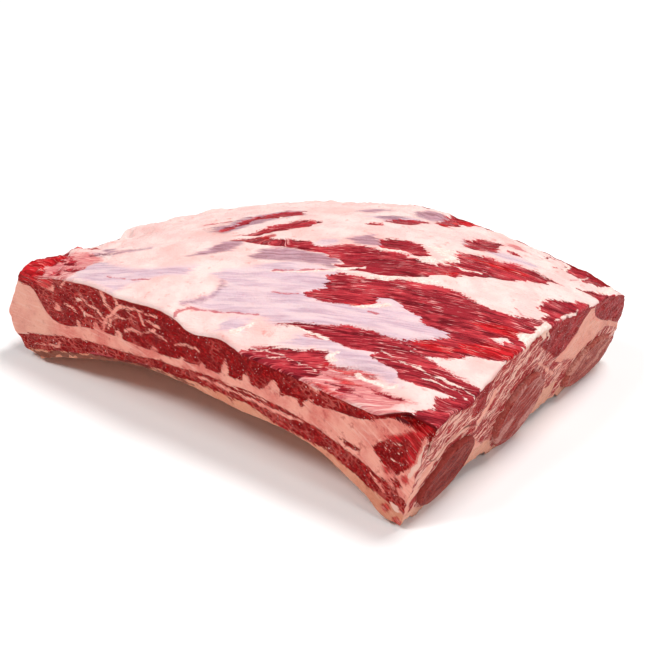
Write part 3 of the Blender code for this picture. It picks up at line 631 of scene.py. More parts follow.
def rough(x, y, seed, octaves=3):
    """Noise with finer noise on it."""
    total = sum(noise(x * 2 ** k, y * 2 ** k, seed + k) / 2 ** k for k in range(octaves))
    return total / (2 - 2 ** (1 - octaves))


def waves(x, y, layers):
    """The sum of some layers of noise."""
    return sum(depth * rough(x / grain_x, y / grain_y, seed, octaves)
               for depth, grain_x, grain_y, seed, octaves in layers)


def mound(s, t, shape):
    """The rise of one round mound."""
    place_s, place_t, half_s, half_t, rise = shape
    return rise * np.exp(-((s - place_s) / half_s) ** 2 - ((t - place_t) / half_t) ** 2)


def share_inside(field, soft):
    """From 0 outside an outline to 1 inside it, across a soft border."""
    return ease(0.5 + field / soft)


def from_edge(u, v):
    """Millimetres to the nearest edge of the slab."""
    return np.minimum(np.minimum(v, 1 - v) * SLAB_WIDTH, np.minimum(u, 1 - u) * SLAB_LENGTH)


def turned(across, along, angle):
    """Places across and along fibres that are turned by an angle."""
    return (across * math.cos(angle) + along * math.sin(angle),
            along * math.cos(angle) - across * math.sin(angle))


def line_distance(x, y, points):
    """Millimetres from a line through the points."""
    nearest = np.full(len(x), np.inf)
    for (ax, ay), (bx, by) in zip(points[:-1], points[1:]):
        run_x, run_y = bx - ax, by - ay
        share = np.clip(((x - ax) * run_x + (y - ay) * run_y) / (run_x ** 2 + run_y ** 2), 0, 1)
        nearest = np.minimum(nearest, np.hypot(x - ax - share * run_x, y - ay - share * run_y))
    return nearest


def outline_distance(x, y, points):
    """Millimetres inside a closed outline, and negative outside it."""
    inside = np.zeros(len(x), bool)
    for (ax, ay), (bx, by) in zip(points, points[1:] + points[:1]):
        if ay == by:
            continue
        crosses = (ay > y) != (by > y)
        inside ^= crosses & (x < ax + (bx - ax) * (y - ay) / (by - ay))
    distance = line_distance(x, y, points + points[:1])
    return np.where(inside, distance, -distance)


def paint(fields, x, y, shapes, lines):
    """Draws outlines and lines of uneven width into the fields."""
    for kind, *points in shapes:
        lay(fields, kind, outline_distance(x, y, points))
    for number, (kind, width, *points) in enumerate(lines):
        uneven = 0.55 + 0.5 * noise(x / LINE_GRAIN, y / LINE_GRAIN, number)
        lay(fields, kind, width * uneven - line_distance(x, y, points))


def lay(fields, kind, depth):
    """Adds to one kind of tissue, or, for fat, cuts the kinds that lie on it away."""
    if kind == "fat":
        for other in ("lean", "silver", "mauve"):
            fields[other] = np.minimum(fields[other], -depth)
    else:
        fields[kind] = np.maximum(fields[kind], depth)


def blank_fields(count, lean, cut, web):
    """Fields with nothing painted: the lean, how far the face is a cut, and its web of fat."""
    fields = {name: np.full(count, -FAR) for name in FIELDS}
    for key, value in (("lean", lean), ("cut", cut), ("web", web)):
        fields[key] = np.full(count, float(value))
    return fields


class Layer:
    """One layer of the slab as a fine mesh, with coarse sheets where it touches the next layer."""

    def __init__(self, name, lower, upper, rows, moved_v=None, shown_top=False, shown_bottom=False):
        self.name = name
        self.lower = lower
        self.upper = upper
        self.rows = rows
        self.moved_v = moved_v
        self.shown_top = shown_top
        self.shown_bottom = shown_bottom
        self.points = []
        self.grain = []
        self.faces = []
        self.fields = {name: [] for name in (*FIELDS, "cut", "web")}
        self.count = 0

    def places(self, u, v):
        """The places that u and v stand for in this layer."""
        return (u, self.moved_v(u, v)) if self.moved_v else (u, v)

    def add(self, u, v, height, face):
        """Adds points that lie on one face of the slab, with its relief and what is painted there."""
        s = along_place(u, height)
        t = across_place(u, v, height)
        fields, grain, push = finish_face(self.name, face, u, v, s, t, height)
        s, t = moved_border(u, v, s, t, height)
        first = self.count
        self.count += len(s)
        self.points.append(bend(*pushed(face, push, s, t, height)))
        self.grain.append(grain)
        for key, parts in self.fields.items():
            parts.append(fields[key])
        return first

    def sheet(self, surface, u_lines, v_lines, faces_up, face):
        """A grid of points on one surface; returns the point numbers as a grid."""
        grids = np.meshgrid(u_lines, v_lines, indexing="ij")
        u, v = self.places(*(grid.ravel() for grid in grids))
        first = self.add(u, v, surface(u, v), face)
        numbers = first + np.arange(len(u)).reshape(len(u_lines), len(v_lines))
        if not (face == "top" and self.shown_top):
            self.match_walls(surface, u_lines, v_lines, border(numbers) - first)
        a, b, c, d = numbers[:-1, :-1], numbers[1:, :-1], numbers[1:, 1:], numbers[:-1, 1:]
        corners = (a, b, c, d) if faces_up else (a, d, c, b)
        self.faces.extend(np.stack([part.ravel() for part in corners], -1).tolist())
        return numbers

    def match_walls(self, surface, u_lines, v_lines, indices):
        """Gives the border of the sheet just added the fields and relief of the walls there."""
        done = 0
        for side, u, v in sides(u_lines, v_lines):
            u, v = self.places(u, v)
            height = surface(u, v)
            s, t = along_place(u, height), across_place(u, v, height)
            fields, grain, push = finish_cut(self.name, side, s, t, height)
            chosen = indices[done:done + len(u)]
            done += len(u)
            for key, parts in self.fields.items():
                parts[-1][chosen] = fields[key]
            self.grain[-1][chosen] = grain
            s, t = moved_border(u, v, s, t, height)
            self.points[-1][chosen] = bend(*pushed(side, push, s, t, height))

    def band(self, lower, upper):
        """Faces between two loops, one of which may have several times as many points."""
        if len(lower) == len(upper):
            after_low, after_high = np.roll(lower, -1), np.roll(upper, -1)
            self.faces.extend(np.stack([lower, after_low, after_high, upper], -1).tolist())
            return
        fine, coarse = (upper, lower) if len(upper) > len(lower) else (lower, upper)
        step = len(fine) // len(coarse)
        for i in range(len(coarse)):
            ends = [coarse[i], coarse[(i + 1) % len(coarse)]]
            run = [fine[(i * step + k) % len(fine)] for k in range(step + 1)]
            self.faces.append([*ends, *run[::-1]] if coarse is lower else [*run, *ends[::-1]])

    def build(self):
        """The two sheets and the rows of wall between them."""
        u_fine, v_fine = edge_spaced(CELLS_ALONG), edge_spaced(CELLS_ACROSS)
        u_coarse, v_coarse = u_fine[::HIDDEN_SHARE], v_fine[::HIDDEN_SHARE]
        low_lines = (u_fine, v_fine) if self.shown_bottom else (u_coarse, v_coarse)
        high_lines = (u_fine, v_fine) if self.shown_top else (u_coarse, v_coarse)
        loop = border(self.sheet(self.lower, *low_lines, False, "bottom"))
        high = border(self.sheet(self.upper, *high_lines, True, "top"))
        for row in range(1, self.rows):
            share = wall_share(row / self.rows)
            ring = []
            for face, u, v in sides(u_fine, v_fine):
                u, v = self.places(u, v)
                low, top = self.lower(u, v), self.upper(u, v) - (TOP_ROUND if self.shown_top else 0)
                first = self.add(u, v, low + share * (top - low), face)
                ring.extend(range(first, first + len(u)))
            self.band(loop, np.array(ring))
            loop = np.array(ring)
        self.band(loop, high)

    def make(self, finish):
        """Builds the layer's object."""
        self.build()
        mesh = bpy.data.meshes.new(self.name)
        mesh.from_pydata(np.concatenate(self.points).tolist(), [], self.faces)
        return finished_object(mesh, self.name, finish, np.concatenate(self.grain),
                               {key: np.concatenate(parts) for key, parts in self.fields.items()})


def finished_object(mesh, name, finish, grain, fields):
    """Smooths the mesh and gives it its material, its grain and what is painted on it."""
    mesh.shade_smooth()
    mesh.set_sharp_from_angle(angle=SMOOTH_ANGLE)
    made = bpy.data.objects.new(name, mesh)
    bpy.context.scene.collection.objects.link(made)
    mesh.materials.append(finish)
    store = mesh.attributes.new("grain", "FLOAT_VECTOR", "POINT")
    store.data.foreach_set("vector", np.asarray(grain, np.float32).ravel())
    for key, values in fields.items():
        store = mesh.attributes.new(key, "FLOAT", "POINT")
        store.data.foreach_set("value", np.clip(values, -FAR, FAR).astype(np.float32))
    return made


def edge_spaced(count):
    """Even steps from 0 to 1 with a few small ones at both ends, which round the edges."""
    edge = EDGE_RUN * np.linspace(0, 1, EDGE_CELLS + 1) ** EDGE_CROWDING
    middle = np.linspace(EDGE_RUN, 1 - EDGE_RUN, count - 2 * EDGE_CELLS + 1)
    return np.concatenate([edge[:-1], middle, 1 - edge[-2::-1]])


def wall_share(share):
    """Rows up a wall, a little closer near the top."""
    return share ** WALL_CROWDING


def border(numbers):
    """The point numbers round a grid's border, anticlockwise seen from above."""
    return np.concatenate([numbers[:-1, 0], numbers[-1, :-1], numbers[:0:-1, -1], numbers[0, :0:-1]])


def sides(u_lines, v_lines):
    """The places round the border, side by side: the name of the cut face, u and v."""
    ones_u, ones_v = np.ones(len(u_lines) - 1), np.ones(len(v_lines) - 1)
    return (("front", u_lines[:-1], 0 * ones_u), ("right", ones_v, v_lines[:-1]),
            ("back", u_lines[:0:-1], ones_u), ("left", 0 * ones_v, v_lines[:0:-1]))


def uneven_cut(face, place, height):
    """How far a cut face stands out of its plane: the waves of the knife, and finer grain."""
    seed, deep, fine = CUT_UNEVENNESS[face]
    knife = rough(place / KNIFE_WAVE[0], height / KNIFE_WAVE[1], seed) - KNIFE_SINK
    return deep * knife + fine * rough(place / KNIFE_GRAIN, height / KNIFE_GRAIN, seed + 5)


def moved_border(u, v, s, t, height):
    """Carries the unevenness of the cut faces a little way into the faces that meet them."""
    for face, distance in (("front", v * SLAB_WIDTH), ("back", (1 - v) * SLAB_WIDTH)):
        near = 1 - ease(distance / BORDER_REACH)
        t = t + OUTWARD[face][1] * uneven_cut(face, s, height) * near
    for face, distance in (("left", u * SLAB_LENGTH), ("right", (1 - u) * SLAB_LENGTH)):
        near = 1 - ease(distance / BORDER_REACH)
        s = s + OUTWARD[face][0] * uneven_cut(face, t, height) * near
    return s, t


def pushed(face, push, *place):
    """A place of the straight slab, moved out of its face."""
    return tuple(part + push * way for part, way in zip(place, OUTWARD[face]))


def finish_face(name, face, u, v, s, t, height):
    """What shows at places of one face of a layer: the fields, the grain and the relief."""
    if face == "top":
        return finish_top(u, v, s, t) if name == "upper_meat" else hidden(s, t)
    if face == "bottom":
        return finish_bottom(u, v, s, t) if name == "membrane" else hidden(s, t)
    return finish_cut(name, face, s, t, height)


def hidden(s, t):
    """A sheet between two layers, which is plain."""
    return blank_fields(len(s), -FAR, 0, 0), np.stack([s, t, 0 * s], -1), np.zeros(len(s))


def finish_top(u, v, s, t):
    """The top face: fat, silverskin and bare meat with fibres, flaps and a torn left end."""
    fields = blank_fields(len(s), -FAR, 0, 0.35)
    along = s * FINGER_COS + t * FINGER_SIN
    across = t * FINGER_COS - s * FINGER_SIN
    finger = waves(along, across, FINGERS)
    warp = waves(s, t, TOP_WARP)
    paint(fields, s + FINGER_COS * finger + warp, t + FINGER_SIN * finger + warp, TOP_SHAPES, ())
    paint(fields, s + waves(s, t, LINE_WARP_S), t + waves(s, t, LINE_WARP_T), (), TOP_LINES)

    steep = ease((t - STEEP_FRONT) / STEEP_RUNS[0]) * ease((STEEP_RIGHT - s) / STEEP_RUNS[1])
    steep = steep * ease((s - STEEP_LEFT) / STEEP_RUNS[2])
    q = t - TOP_FIBRE_SLOPE * s - steep * STEEP_SLOPE * (s - STEEP_MIDDLE)
    p = s + TOP_FIBRE_SKEW * t

    lean = share_inside(fields["lean"], 1.4)
    relief = lean * (waves(q, p, FIBRES) - LEAN_SINK) + (1 - lean) * waves(s, t, FAT_BUMPS)
    relief += WHITE_RISE * ease(fields["white"] / 1.2) - SLIT_DEPTH * share_inside(fields["slit"], 0.9)
    relief -= RED_DEPTH * share_inside(fields["red"], 0.9)
    torn = waves(q, p, TORN_WAVES) + TORN_END_RISE * ease((TORN_END - s) / 12)
    relief += ease(fields["torn"] / 2) * torn + mound(s, t, TORN_LUMP)
    far_edge = np.maximum(ease((t - 150) / 40), ease((-84 - s) / 30))
    relief += far_edge * (waves(s, t, FAR_EDGE_WAVES) - FAR_EDGE_SINK)

    edge = RELIEF_AT_EDGE + (1 - RELIEF_AT_EDGE) * ease(from_edge(u, v) / 3)
    drop = TOP_ROUND * (1 - np.sqrt(1 - np.clip(1 - from_edge(u, v) / TOP_ROUND, 0, 1) ** 2))
    left_rise = cut_place(LEFT_EDGE_RISE, t) * ease((LEFT_EDGE_START - s) / LEFT_EDGE_RUN)
    push = relief * edge - drop + left_rise + mound(s, t, FAT_FLAP)
    return fields, np.stack([q, p, 0 * s], -1), push


def finish_bottom(u, v, s, t):
    """The underside of the membrane, with shallow wrinkles across the bones."""
    fields = blank_fields(len(s), -FAR, 0.5, 0.3)
    depth = WRINKLES[0][0]
    relief = -(depth + waves(s, t, WRINKLES)) * ease(from_edge(u, v) / 3)
    return fields, np.stack([t, s, 0 * s], -1), relief


def finish_cut(name, face, s, t, height):
    """A cut face of a layer: bundles of meat, webs of fat, and the seams between them."""
    lean = -FAR if name in ("fat_seam", "membrane") else FAR
    fields = blank_fields(len(s), lean, 1, CUT_WEB[face])
    place = s if face in ("front", "back") else t
    x = place + waves(place, height, CUT_WARP_X)
    y = height + waves(place, height, CUT_WARP_Y)
    if face == "front":
        paint_front(name, fields, x, y, s, height)
        q, p = turned(height, s, FRONT_FIBRE_ANGLE)
    elif face == "right":
        if name == "fat_seam":
            fields["lean"] = np.clip(WEDGE_START - t, -FAR, FAR)
        paint(fields, x, y, RIGHT_SHAPES, RIGHT_LINES)
        fields["web"] -= 0.8 * share_inside(fields["plain"], 3)
        q, p = turned(height, t, -SIDE_FIBRE_ANGLE)
    elif face == "left":
        q, p = turned(height, t, SIDE_FIBRE_ANGLE)
    else:
        q, p = height, s
    if name == "rib_meat":
        fields["web"] = np.maximum(fields["web"], RIB_MEAT_WEB)
    uneven = waves(q, p, CUT_GRAIN) + waves(place, height, CUT_WAVES)
    lean = share_inside(fields["lean"], 1.2)
    relief = CUT_RELIEF * (uneven * (0.45 + 0.55 * lean) - 0.25 * lean)
    relief -= CUT_SLIT_DEPTH * share_inside(fields["slit"], 1.2)
    relief += CUT_RELIEF * ease(fields["white"])
    return fields, np.stack([q, p, 0 * s], -1), relief


def paint_front(name, fields, x, y, s, height):
    """The front cut: ragged seams, wedges of fat and more web of fat toward both ends."""
    if name == "membrane":
        depth = height - cut_place(FRONT_MEMBRANE, s) + MEMBRANE_REACH
        fields["lean"] = depth + waves(s, height, MEMBRANE_SEAM)
    if name == "fat_seam":
        below = cut_place(FRONT_RIB_MEAT, s) + RIB_MEAT_REACH + waves(s, height, RIB_MEAT_SEAM) - height
        above = height - cut_place(FRONT_SEAM, s) + UPPER_MEAT_REACH + waves(s, height, UPPER_MEAT_SEAM)
        fields["lean"] = np.maximum(below, above)
    paint(fields, x, y, FRONT_SHAPES, FRONT_LINES)
    paint(fields, x, y, [wedge(*row) for row in FRONT_WEDGES], ())
    fields["web"] += 0.35 * ease((-38 - s) / 20) + 0.15 * ease((s - 40) / 30)
    if name == "fat_seam":
        fields["web"] += 0.3 * ease((-96 - s) / 40)


def wedge(place, wide, tall):
    """The outline of a wedge of fat that rises from the seam of the front cut."""
    seam = cut_place(FRONT_SEAM, place)
    return ("fat", (place - wide / 2, seam - 3), (place - wide / 5, seam + tall * 0.7),
            (place, seam + tall), (place + wide / 3, seam + tall * 0.5), (place + wide / 2, seam - 3))


# Colours as on a screen. Fat: its two main shades, its highlights or clouds, and its stains
FAT_TOP = ("F9D9D3", "F5C8C3", "F0B5AE", "E68A82")
FAT_CUT = ("F5A795", "E27D71", "F8C0B0", "BE4A44")
MEMBRANE_FAT = ("E39C80", "D98B6F", "EBB199", "B4604B")
# Skins over the meat, dark to pale
SILVER = ("BF9FB0", "D9BCC8", "EBD0D2")
MAUVE = ("7C4459", "B98A9D")
SALMON = ("C4505A", "E2908B", "F3C0B8")
# Meat, dark to pale: on the top face, on the cuts with three shades of fat, and where it is plain
LEAN_TOP = ("6A121C", "A02833", "C83E46", "E9AAA6")
# LEAN_CUT's fifth shade also paints highlight specks on the cut meat
LEAN_CUT = ("720306", "9E070C", "BE1E1F", "D8665C", "EDA193", "F5BFAF")
DULL = ("8E1C22", "C84C4C")
TORN = ("96090E", "DA262D", "F39A92")
# Painted glints, fat of cuts with much web, flaps of fat also painted as highlights, and fine lines
PAINTED_GLINT = "FFE6DE"
CREAM = "EDB5A0"
# White flaps of fat, raised a little; their near white also paints highlights at flaps and edges
WHITE_FLAP_AND_HIGHLIGHT = ("FFE7DE", "F6CDC2")
RED_LINE = "BC4750"
# Painted shade in the sunk slits and gaps
SLIT_SHADE = "4A1219"
BROWN_LINE = "5C231C"
# Bones, front to back: two shades of marrow, two of its pink grains, and the rim
BONES = (("560C0B", "943029", "7E2C27", "AC5A50", "A84A42"),
         ("701412", "AC4038", "AE5E56", "CB938A", "BC645A"),
         ("741F1C", "B4544A", "AE5A50", "D09384", "BE665A"))

# Gloss, light under the surface, and the depth and strength of the bumps
WET_IOR = 1.12
GLOW_SCALE = 0.003
MEAT_GLOW = 0.08
MEAT_GLOW_RADIUS = (1.0, 0.35, 0.25)
BONE_GLOW = 0.05
MEAT_BUMP = (0.0009, 0.6)
BONE_BUMP = (0.0008, 0.7)


class Tree:
    """Short names for the nodes of a material."""

    def __init__(self, name):
        self.material = bpy.data.materials.new(name)
        self.material.use_nodes = True
        self.nodes = self.material.node_tree.nodes
        self.links = self.material.node_tree.links
        self.shader = self.nodes["Principled BSDF"]

    def set(self, socket, value):
        """Links an output to the socket, or sets its value."""
        if isinstance(value, bpy.types.NodeSocket):
            self.links.new(value, socket)
        else:
            socket.default_value = value

    def node(self, kind, **settings):
        """A node with its settings."""
        made = self.nodes.new(kind)
        for key, value in settings.items():
            setattr(made, key, value)
        return made

    def attribute(self, name, output="Fac"):
        """A value that is painted on the mesh."""
        return self.node("ShaderNodeAttribute", attribute_name=name).outputs[output]

    def math(self, operation, a, b=0.0):
        """One sum of two values."""
        made = self.node("ShaderNodeMath", operation=operation)
        self.set(made.inputs[0], a)
        self.set(made.inputs[1], b)
        return made.outputs[0]

    def add(self, a, b):
        """a + b."""
        return self.math("ADD", a, b)

    def times(self, a, b):
        """a * b."""
        return self.math("MULTIPLY", a, b)

    def centred(self, value, strength, middle=0.5):
        """How far a value is from its middle, times a strength."""
        return self.times(self.math("SUBTRACT", value, middle), strength)

    def place(self):
        """Places on the object, in millimetres."""
        return self.scaled(self.node("ShaderNodeTexCoord").outputs["Object"], 1000, 1000, 1000)

    def scaled(self, vector, x, y, z=1.0):
        """A vector with each part multiplied."""
        made = self.node("ShaderNodeVectorMath", operation="MULTIPLY")
        self.set(made.inputs[0], vector)
        made.inputs[1].default_value = (x, y, z)
        return made.outputs[0]

    def noise(self, vector, scale, detail=2.0, roughness=0.55, distortion=0.0):
        """Noise from about 0.3 to 0.7."""
        made = self.node("ShaderNodeTexNoise")
        self.set(made.inputs["Vector"], vector)
        made.inputs["Scale"].default_value = scale
        made.inputs["Detail"].default_value = detail
        made.inputs["Roughness"].default_value = roughness
        made.inputs["Distortion"].default_value = distortion
        return made.outputs["Fac"]

    def cells(self, vector, scale):
        """The distance to the borders of cells."""
        made = self.node("ShaderNodeTexVoronoi", feature="DISTANCE_TO_EDGE")
        self.set(made.inputs["Vector"], vector)
        made.inputs["Scale"].default_value = scale
        return made.outputs["Distance"]

    def step(self, value, low, high, start=0.0, end=1.0):
        """From start at low to end at high, smoothly."""
        made = self.node("ShaderNodeMapRange", interpolation_type="SMOOTHSTEP")
        for key, number in (("From Min", low), ("From Max", high), ("To Min", start), ("To Max", end)):
            self.set(made.inputs[key], number)
        self.set(made.inputs["Value"], value)
        return made.outputs["Result"]

    def mix(self, share, a, b):
        """From colour a to colour b."""
        made = self.node("ShaderNodeMix", data_type="RGBA")
        self.set(made.inputs["Factor"], share)
        for socket, value in ((made.inputs[6], a), (made.inputs[7], b)):
            self.set(socket, colour(value) if isinstance(value, str) else value)
        return made.outputs[2]

    def coats(self, base, *coats):
        """A colour with others over it, each with where it shows and how strongly."""
        for mask, strength, shade in coats:
            base = self.mix(self.times(mask, strength), base, shade)
        return base

    def bump(self, height, distance, strength):
        """Small relief for the shading."""
        made = self.node("ShaderNodeBump")
        made.inputs["Distance"].default_value = distance
        made.inputs["Strength"].default_value = strength
        self.set(made.inputs["Height"], height)
        return made.outputs["Normal"]


def colour(code):
    """A colour written as on a screen, RRGGBB, as the renderer's own values."""
    parts = [int(code[i:i + 2], 16) / 255 for i in (0, 2, 4)]
    return (*[((c + 0.055) / 1.055) ** 2.4 if c > 0.04045 else c / 12.92 for c in parts], 1)


def tissue(name, fat_top, fat_cut, thin_line):
    """Fat, silverskin and meat, told apart by the fields of the mesh it is on."""
    n = Tree(name)
    step, mix, coats, add, times = n.step, n.mix, n.coats, n.add, n.times
    grain, position = n.attribute("grain", "Vector"), n.place()
    cut, web = n.attribute("cut"), n.attribute("web")

    streak = n.noise(n.scaled(grain, 0.62, 0.045), 1.0, 3.0, 0.62, 0.4)
    side_streak = n.noise(n.scaled(grain, 0.62, 0.09), 1.0, 2.0, 0.6, 0.4)
    fine_streak = n.noise(n.scaled(grain, 1.7, 0.1), 1.0, 2.0)
    broad = n.noise(n.scaled(grain, 0.16, 0.03), 1.0, 2.0)
    granule = n.noise(n.scaled(grain, 0.85, 0.5), 1.0, 2.0, 0.6, 0.5)
    fleck = n.noise(n.scaled(grain, 1.5, 0.55), 1.0, 1.0)
    # Broad patches for painted shade in the hollows of the cut meat
    painted_hollow_shade = n.noise(n.scaled(grain, 0.2, 0.12), 1.0, 2.0)
    bundle = n.cells(n.scaled(grain, 1.0, 0.5), 0.42)
    coarse_bundle = n.cells(n.scaled(grain, 1.0, 0.3), 0.16)
    grit = n.noise(position, 0.75, 3.0, 0.7)
    # Spots for painted glints, highlights on the wet meat
    fine_grit = n.noise(position, 1.5, 2.0, 0.7)
    painted_glint_spots = n.noise(position, 0.95, 1.0)
    spots = n.noise(position, 0.19, 3.0)
    blotch = n.noise(position, 0.07, 3.0, 0.6)
    cloud = n.noise(position, 0.028, 2.0)
    ragged = add(n.centred(grit, 2.6), n.centred(fine_streak, 4.0))

    def inside(kind, soft=0.35, wild=1.0):
        """Where a kind of tissue lies, with a ragged border."""
        return step(add(n.attribute(kind), times(ragged, wild)), -soft, soft)

    # Fat, with faint red stains
    top_fat = coats(
        mix(step(blotch, 0.36, 0.64), fat_top[0], fat_top[1]),
        (step(cloud, 0.5, 0.68), 0.55, fat_top[2]),
        (step(spots, 0.6, 0.74), 0.6, fat_top[3]))
    side_fat = coats(
        mix(step(blotch, 0.36, 0.64), fat_cut[0], fat_cut[1]),
        (step(streak, 0.52, 0.7), 0.6, fat_cut[2]),
        (step(fine_streak, 0.56, 0.7), 0.35, fat_cut[3]),
        (step(fine_grit, 0.56, 0.7), 0.45, fat_cut[2]),
        (step(add(spots, n.centred(grit, 0.35)), 0.57, 0.68), 0.6, fat_cut[3]),
        (step(web, 0.7, 0.85), 0.5, CREAM))

    # Skins over the meat
    silver = coats(
        mix(step(streak, 0.38, 0.62), SILVER[0], SILVER[1]),
        (step(broad, 0.42, 0.62), 0.7, SILVER[2]))
    mauve = mix(step(streak, 0.38, 0.6), MAUVE[0], MAUVE[1])
    salmon = coats(
        mix(step(fine_streak, 0.4, 0.62), SALMON[0], SALMON[1]),
        (step(streak, 0.54, 0.66), 1.0, SALMON[2]))

    # Meat: streaked on the top face, in small bundles with pale webs on a cut
    top_meat = coats(
        mix(step(streak, 0.38, 0.58), LEAN_TOP[0], LEAN_TOP[1]),
        (step(add(fine_streak, times(broad, 0.8)), 0.88, 1.04), 1.0, LEAN_TOP[2]),
        (step(fine_streak, 0.57, 0.66), step(blotch, 0.38, 0.6), LEAN_TOP[3]))
    dull = mix(step(fine_grit, 0.4, 0.6), DULL[0], DULL[1])
    webbed = times(step(add(blotch, times(web, 0.35)), 0.62, 0.8), step(web, 0.7, 0.85, 1.0, 0.3))
    crowded = add(side_streak, n.centred(broad, 0.45))
    cut_meat = coats(
        mix(step(granule, 0.36, 0.6), LEAN_CUT[0], LEAN_CUT[1]),
        (step(add(granule, times(fine_grit, 0.4)), 0.74, 0.88), 1.0, LEAN_CUT[2]),
        (n.math("MAXIMUM", inside("plain", 1.5), step(web, 0.75, 0.9)), 0.75, dull),
        # Darker patches on the cut meat: painted shade of its hollows
        (step(painted_hollow_shade, 0.36, 0.62, 0.62, 0.0), step(web, 0.7, 0.85, 1.0, 0.4), LEAN_CUT[0]),
        (step(fleck, 0.6, 0.68), 0.3, LEAN_CUT[3]),
        (times(step(bundle, 0.02, 0.16, 1.0, 0.0), webbed), 0.55, LEAN_CUT[3]),
        (times(step(coarse_bundle, 0.0, 0.06, 1.0, 0.0), step(web, 0.55, 1.1)), 0.7, LEAN_CUT[4]),
        (times(step(crowded, 0.532, 0.572), step(web, 0.7, 0.85)), 0.85, LEAN_CUT[5]),
        # Pale specks: painted highlights on the granules of the cut meat
        (step(add(fine_grit, times(web, 0.04)), 0.66, 0.78), 0.35, LEAN_CUT[4]),
        # Painted glints: sparse near-white spots that stand for highlights on the wet cut meat
        (step(painted_glint_spots, 0.715, 0.745), 0.8, PAINTED_GLINT))

    # Torn meat, and white flaps of fat that also paint highlights
    torn = coats(
        mix(step(streak, 0.4, 0.6), TORN[0], TORN[1]),
        (step(fine_streak, 0.58, 0.7), 1.0, TORN[2]))
    flap_and_highlight = mix(step(grit, 0.4, 0.6), WHITE_FLAP_AND_HIGHLIGHT[0], WHITE_FLAP_AND_HIGHLIGHT[1])

    base = coats(
        mix(cut, top_fat, side_fat),
        (inside("silver", 2.2, 0.7), 0.85, silver),
        (inside("mauve", 2.0, 1.2), 0.8, mauve),
        (inside("salmon", 1.2, 1.2), 0.85, salmon),
        (inside("lean"), 1.0, mix(cut, top_meat, cut_meat)),
        (inside("torn", 0.8, 1.2), 0.85, torn),
        (inside("red", 0.3, 0.5), 0.75, thin_line),
        # Slits: sunk, and painted dark as the shade inside them
        (inside("slit", 0.35, 0.4), 0.85, SLIT_SHADE),
        # White: raised flaps of fat, near white, also painted highlights on them and along edges
        (inside("white", 0.3, 0.6), 1.0, mix(times(cut, 0.7), flap_and_highlight, CREAM)))

    n.set(n.shader.inputs["Base Color"], base)
    n.set(n.shader.inputs["Roughness"], step(grit, 0.35, 0.65, 0.24, 0.42))
    n.shader.inputs["Subsurface Weight"].default_value = MEAT_GLOW
    n.shader.inputs["Subsurface Scale"].default_value = GLOW_SCALE
    n.shader.inputs["Subsurface Radius"].default_value = MEAT_GLOW_RADIUS
    n.shader.inputs["IOR"].default_value = WET_IOR
    relief = add(grit, times(add(streak, fine_streak), 0.8))
    n.set(n.shader.inputs["Normal"], n.bump(relief, *MEAT_BUMP))
    return n.material


def bone(name, shades):
    """A sawn rib end: dark red marrow with grey and pink grains, and a pale rim."""
    n = Tree(name)
    step, mix = n.step, n.mix
    position, grain = n.place(), n.attribute("grain", "Vector")
    grit = n.noise(position, 0.8, 4.0, 0.7)
    speck = n.noise(position, 1.3, 2.0)
    blotch = n.noise(n.scaled(grain, 0.12, 0.045), 1.0, 3.0, 0.6, 0.5)
    streak = n.noise(n.scaled(grain, 0.5, 0.07), 1.0, 3.0)
    rim = n.add(n.attribute("rim"), n.centred(blotch, 9.0, 0.45))
    ring = n.math("ABSOLUTE", n.math("SUBTRACT", rim, 3.4))
    pink = mix(step(grit, 0.36, 0.62), shades[2], shades[3])
    base = n.coats(
        mix(step(grit, 0.36, 0.62), shades[0], shades[1]),
        (step(blotch, 0.49, 0.6), 1.0, pink),
        (step(streak, 0.56, 0.64), 0.4, shades[3]),
        (step(rim, 1.6, 0.4), 0.5, shades[4]),
        (step(ring, 0.2, 1.1, 0.3, 0.0), 1.0, shades[3]),
        (step(speck, 0.6, 0.7, 0.0, 0.45), 1.0, shades[3]))
    n.set(n.shader.inputs["Base Color"], base)
    n.set(n.shader.inputs["Roughness"], step(grit, 0.3, 0.7, 0.35, 0.55))
    n.shader.inputs["IOR"].default_value = WET_IOR
    n.shader.inputs["Subsurface Weight"].default_value = BONE_GLOW
    n.shader.inputs["Subsurface Scale"].default_value = GLOW_SCALE
    n.set(n.shader.inputs["Normal"], n.bump(grit, *BONE_BUMP))
    return n.material


# The bones' meshes: points round them, stations along them, and the rings and rounding of an end
RIB_TURNS = 72
RIB_RINGS = (0.0, 0.02, 0.12, 0.3, 0.5, 0.7, 0.88, 0.98, 1.0)
END_RINGS = 14
END_ROUND = 1.2
END_FILL = 0.985
RIB_UNEVENNESS = 0.035
END_UNEVENNESS = 0.5
END_SINK = 0.4


